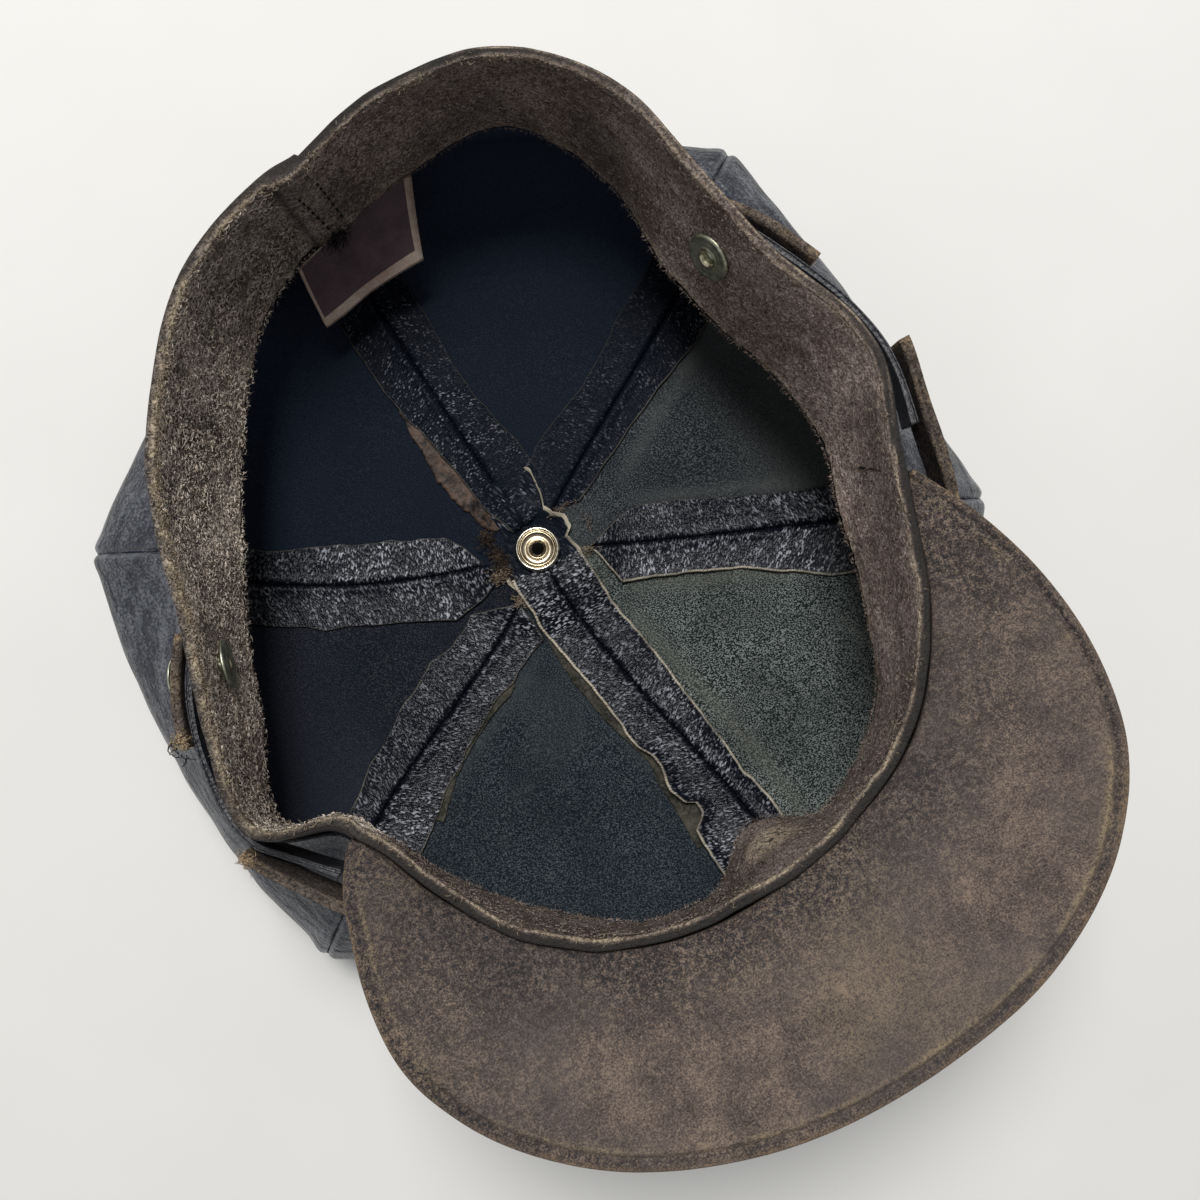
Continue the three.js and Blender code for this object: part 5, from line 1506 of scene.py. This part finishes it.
# The loose threads at the left tab's end: azimuths, height above the tab's middle
THREAD_AZIMUTHS, THREAD_HEIGHT = np.array([-90.6, -91.4, -92.5]), 4


def make_straps():
    make_strap("front_strap_leather", FRONT_STRAP[0, 0], FRONT_STRAP[-1, 0], front_inner,
               STRAP_WALL, STRAP_WIDTH, "strap", "front_strap", TWO_LAYERS, STRAP_ROWS)
    for side, sections in STRIPS.items():
        make_strap("side_strip_leather_" + side, sections[0, 0], sections[-1, 0],
                   lambda azimuth, height, side=side: strip_inner(side, azimuth, height),
                   STRIP_WALL, STRIP_WIDTH, "strip_grain", "side_strip_" + side, FOLDED,
                   STRIP_ROWS)
        make_strap("tab_leather_" + side, TABS[side][0], TABS[side][1],
                   lambda azimuth, height, side=side: over_strip(side, azimuth, height),
                   TAB_WALL, TAB_WIDTH, "strap", "tab_" + side, ONE_LAYER, TAB_ROWS)
    # Raw tan fibres on the ends that the view from above shows
    for name, azimuth, inner, wall, width in (
            ("tab", TABS["left"][1] - 1.2, lambda a, h: over_strip("left", a, h), TAB_WALL, TAB_WIDTH),
            ("strap", FRONT_STRAP[0, 0] + 0.9, front_inner, STRAP_WALL, STRAP_WIDTH)):
        turn = np.array(azimuth)
        middle = rim_height(turn) - STRAP_LINE
        place = at(turn, inner(turn, middle) + 0.5 * wall, middle + 0.5 * width)
        tuft("fibres_%s_end" % name, place, (0.9, 0.9, 0.5), 130, 1.1, "tan_end")
    middle = rim_height(THREAD_AZIMUTHS) - STRAP_LINE
    radius = over_strip("left", THREAD_AZIMUTHS, middle) + TAB_WALL
    for number, place in enumerate(at(THREAD_AZIMUTHS, radius, middle + THREAD_HEIGHT)):
        tuft("tab_threads_%d" % (number + 1), place, (0.4, 0.4, 0.8), 5, 3.6, "thread",
             width=0.45, lift=(-1.0, 0, 0.4))


# Metal
def facing(radius_at, azimuth, height):
    """A point of an upright surface and its outward direction."""
    def point(turn, up):
        return at(azimuth + turn, radius_at(azimuth + turn, height + up), height + up)

    turn_step, up_step = 2, 4
    along = point(turn_step, 0) - point(-turn_step, 0)
    up = point(0, up_step) - point(0, -up_step)
    return point(0, 0), Vector(unit(np.cross(along, up)))


# How much further than its shaft each rivet's disc is turned
DISC_TURN = {"right": 0.0, "left": -13.0}
# The rivet's inner disc: radius, height above its seat, and the finish from there on
RIVET_DISC = [(0.001, -0.3, 1), (1.3, -0.3, 1), (1.7, 0.1, 1), (2.1, 0.7, 1), (2.45, 1.1, 1), (2.8, 1.05, 0),
              (3.2, 0.78, 0), (3.6, 0.9, 0), (4.3, 0.95, 0), (4.7, 0.8, 0), (5.1, 0.92, 0), (5.7, 0.95, 0),
              (6.2, 0.75, 0), (6.4, 0.45, 0), (6.3, 0.1, 0), (2.0, 0.0, 0)]
RIVET_HEAD = [(0.001, -0.2), (2.0, -0.2), (4.2, 0.0), (4.3, 0.2), (4.0, 0.5), (3.2, 0.75), (2.0, 0.85),
              (0.001, 0.9)]
RIVET_SHAFT, RIVET_SUNK = 2.0, 0.3
# The radius where a turned solid ends on its axis
TIP = 0.001


def rivet_axis(azimuth, lean):
    def inside(turn, height):
        return band_inside(turn, band_share(turn, height))

    place, outward = facing(inside, azimuth, rim_height(azimuth) - RIVET_LINE)
    level = Vector((-outward.y, outward.x, 0)).normalized()
    turn = Matrix.Rotation(math.radians(lean), 3, level)
    return place, turn @ outward


def make_rivet(side):
    azimuth = TABS[side][2]
    place, direction = rivet_axis(azimuth, RIVET_LEAN)
    _, disc_direction = rivet_axis(azimuth, RIVET_LEAN + DISC_TURN[side])
    seat = GAP + RIVET_FLANGE * math.sin(math.radians(RIVET_LEAN))

    def outside(turn, height):
        return over_strip(side, turn, height) + TAB_WALL

    radial = Vector(unit(np.array((place[0], place[1], 0.0))))
    here = math.hypot(place[0], place[1])
    reach = (float(outside(azimuth, place[2])) - here) / direction.dot(radial)
    profile = [(radius, -seat - height) for radius, height, _ in RIVET_DISC] + [(TIP, -seat)]
    finishes = [kind for _, _, kind in RIVET_DISC] + [0]
    piece = turned("rivet_brass_" + side, profile, place, disc_direction,
                   ["brass", "bright_brass"], slot_of=finishes)
    low = -seat - RIVET_SUNK
    shaft = [(TIP, low), (RIVET_SHAFT, low), (RIVET_SHAFT, reach), (TIP, reach)]
    shaft = turned("rivet_shaft_" + side, shaft, place, direction, ["brass"])
    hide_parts("rivet_" + side)
    end = Vector(place) + direction * reach
    _, square = facing(outside, azimuth, end.z)
    head = turned("rivet_head_" + side, RIVET_HEAD, end, square, ["brass"])


# The snap's rim, cup and middle: radius, height above its base
SNAP_RIM = [(5.25, 0), (6.5, 0), (6.8, 0.4), (6.85, 1.0), (6.75, 1.5), (6.55, 1.9), (6.25, 2.12), (5.95, 2.1),
            (5.65, 1.85), (5.45, 1.3)]
SNAP_CUP = [(1.7, 0.05), (5.2, 0.05), (5.2, 1.35), (4.8, 1.05), (4.3, 0.7), (3.7, 0.5), (3.3, 0.6),
            (3.1, 1.0), (2.85, 1.2), (2.6, 1.05), (2.35, 0.6), (1.9, 0.1)]
# The snap's middle is a near-black plug: painted shade that stands in for its deep hole
SNAP_MIDDLE = [(0.001, -0.4), (1.75, -0.4), (1.75, 0.1), (1.2, 0.2), (0.75, 0.25), (0.5, 0.55), (0.001, 0.6)]


def make_snap():
    rim = [(radius, SNAP_BASE + height) for radius, height in SNAP_RIM]
    cup = [(radius, SNAP_BASE + height) for radius, height in SNAP_CUP]
    outer = ring_solid("snap_rim", rim, ["steel"])
    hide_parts("snap_ring")
    inner = ring_solid("snap_cup", cup, ["gold"])
    middle = turned("snap_middle", SNAP_MIDDLE, (0, 0, SNAP_BASE), (0, 0, 1), ["hole"])


# The button, from its outside to the end of its shank: radius, height. Its leather is gathered in small folds
BUTTON_PROFILE = np.array([
    (0.001, 0.3), (3, 0.32), (6, 0.55), (8.4, 1.15), (10, 2.1), (10.8, 3.2), (10.9, 3.9), (10.4, 4.6),
    (6, 4.7), (2.6, 4.7), (2.5, 6.6), (0.001, 6.6)])
BUTTON_GATHERS, GATHER_DEPTH, SHANK_FROM, BUTTON_LOT = 11, 0.02, 5, 500.0


def make_button():
    angle = np.linspace(0, 360, RING_STEPS, endpoint=False)[None, :]
    radius, height = BUTTON_PROFILE.T[:, :, None]
    gathers = GATHER_DEPTH * np.cos(np.radians(BUTTON_GATHERS * angle)) * smooth((radius - 6) / 4)
    points = at(angle, radius * (1 + gathers * (height < SHANK_FROM)), height)
    values = {"wear": np.zeros(points.shape[:2]), "run": points[..., 0], "side": points[..., 1],
              "lot": np.full(points.shape[:2], BUTTON_LOT)}
    piece = swept("button_leather", points, ["crown_grain"], values=values)
    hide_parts("crown_button")


# The label is plain: a dark field inside a tan border. Its size, and how wide its border is on its right,
# left and free edges
LABEL_SIZE, LABEL_BORDER = (38.0, 24.0), (2.2, 0.9, 3.8)
# Steps of its field across and down, and of its border down
FIELD_ACROSS, FIELD_DOWN, BORDER_DOWN = 46, 26, 5


def make_label():
    right, left = LABEL_BORDER[0] / LABEL_SIZE[0], LABEL_BORDER[1] / LABEL_SIZE[0]
    free = LABEL_BORDER[2] / LABEL_SIZE[1]
    across = np.concatenate([[0], np.linspace(right, 1 - left, FIELD_ACROSS), [1]])[:, None]
    down = [np.linspace(0, 1 - free, FIELD_DOWN), np.linspace(1 - free, 1, BORDER_DOWN)[1:]]
    share = np.concatenate(down)[None, :]
    azimuth = lerp(LABEL_START, LABEL_END, across)
    lean = lerp(LABEL_LEAN[0], LABEL_LEAN[1], across)
    drop = lerp(LABEL_DROP[0], LABEL_DROP[1], across)
    wave = 0.7 * np.sin(across * np.pi * 1.3 + 0.8) * share**2 + 0.3 * np.sin(across * 8 + share * 3) * share
    corner = 1.2 * smooth((across - 0.72) / 0.28) * smooth((share - 0.6) / 0.4)
    radius = band_inner(azimuth, 0) + 0.4 - lean * share + wave
    points = at(azimuth + LABEL_SKEW * share, radius, band_height(azimuth, 0) - GAP - drop * share + corner)
    middle = (across[:-1] >= right - 1e-9) & (across[1:] <= 1 - left + 1e-9)
    field = middle & (np.arange(2 * share.size)[None, :] < FIELD_DOWN - 1)
    piece = swept("label_cloth", round_sheet(points, points + at(azimuth, LABEL_WALL, 0.0)),
                  ["label", "label_border"], pairs=True, slot_of=np.where(field, 0, 1))
    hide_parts("label")


make_band()
band_fibres()
rim_fuzz()
band_fringe()
make_lap_seams()
for number in range(len(PANELS)):
    make_panel(number)
for name in FLAPS:
    make_flap(name)
for name in SCRAPS:
    make_scrap(name)
make_middle()
make_tufts()
make_peak()
make_straps()
for side in TABS:
    make_rivet(side)
make_snap()
make_button()
make_label()
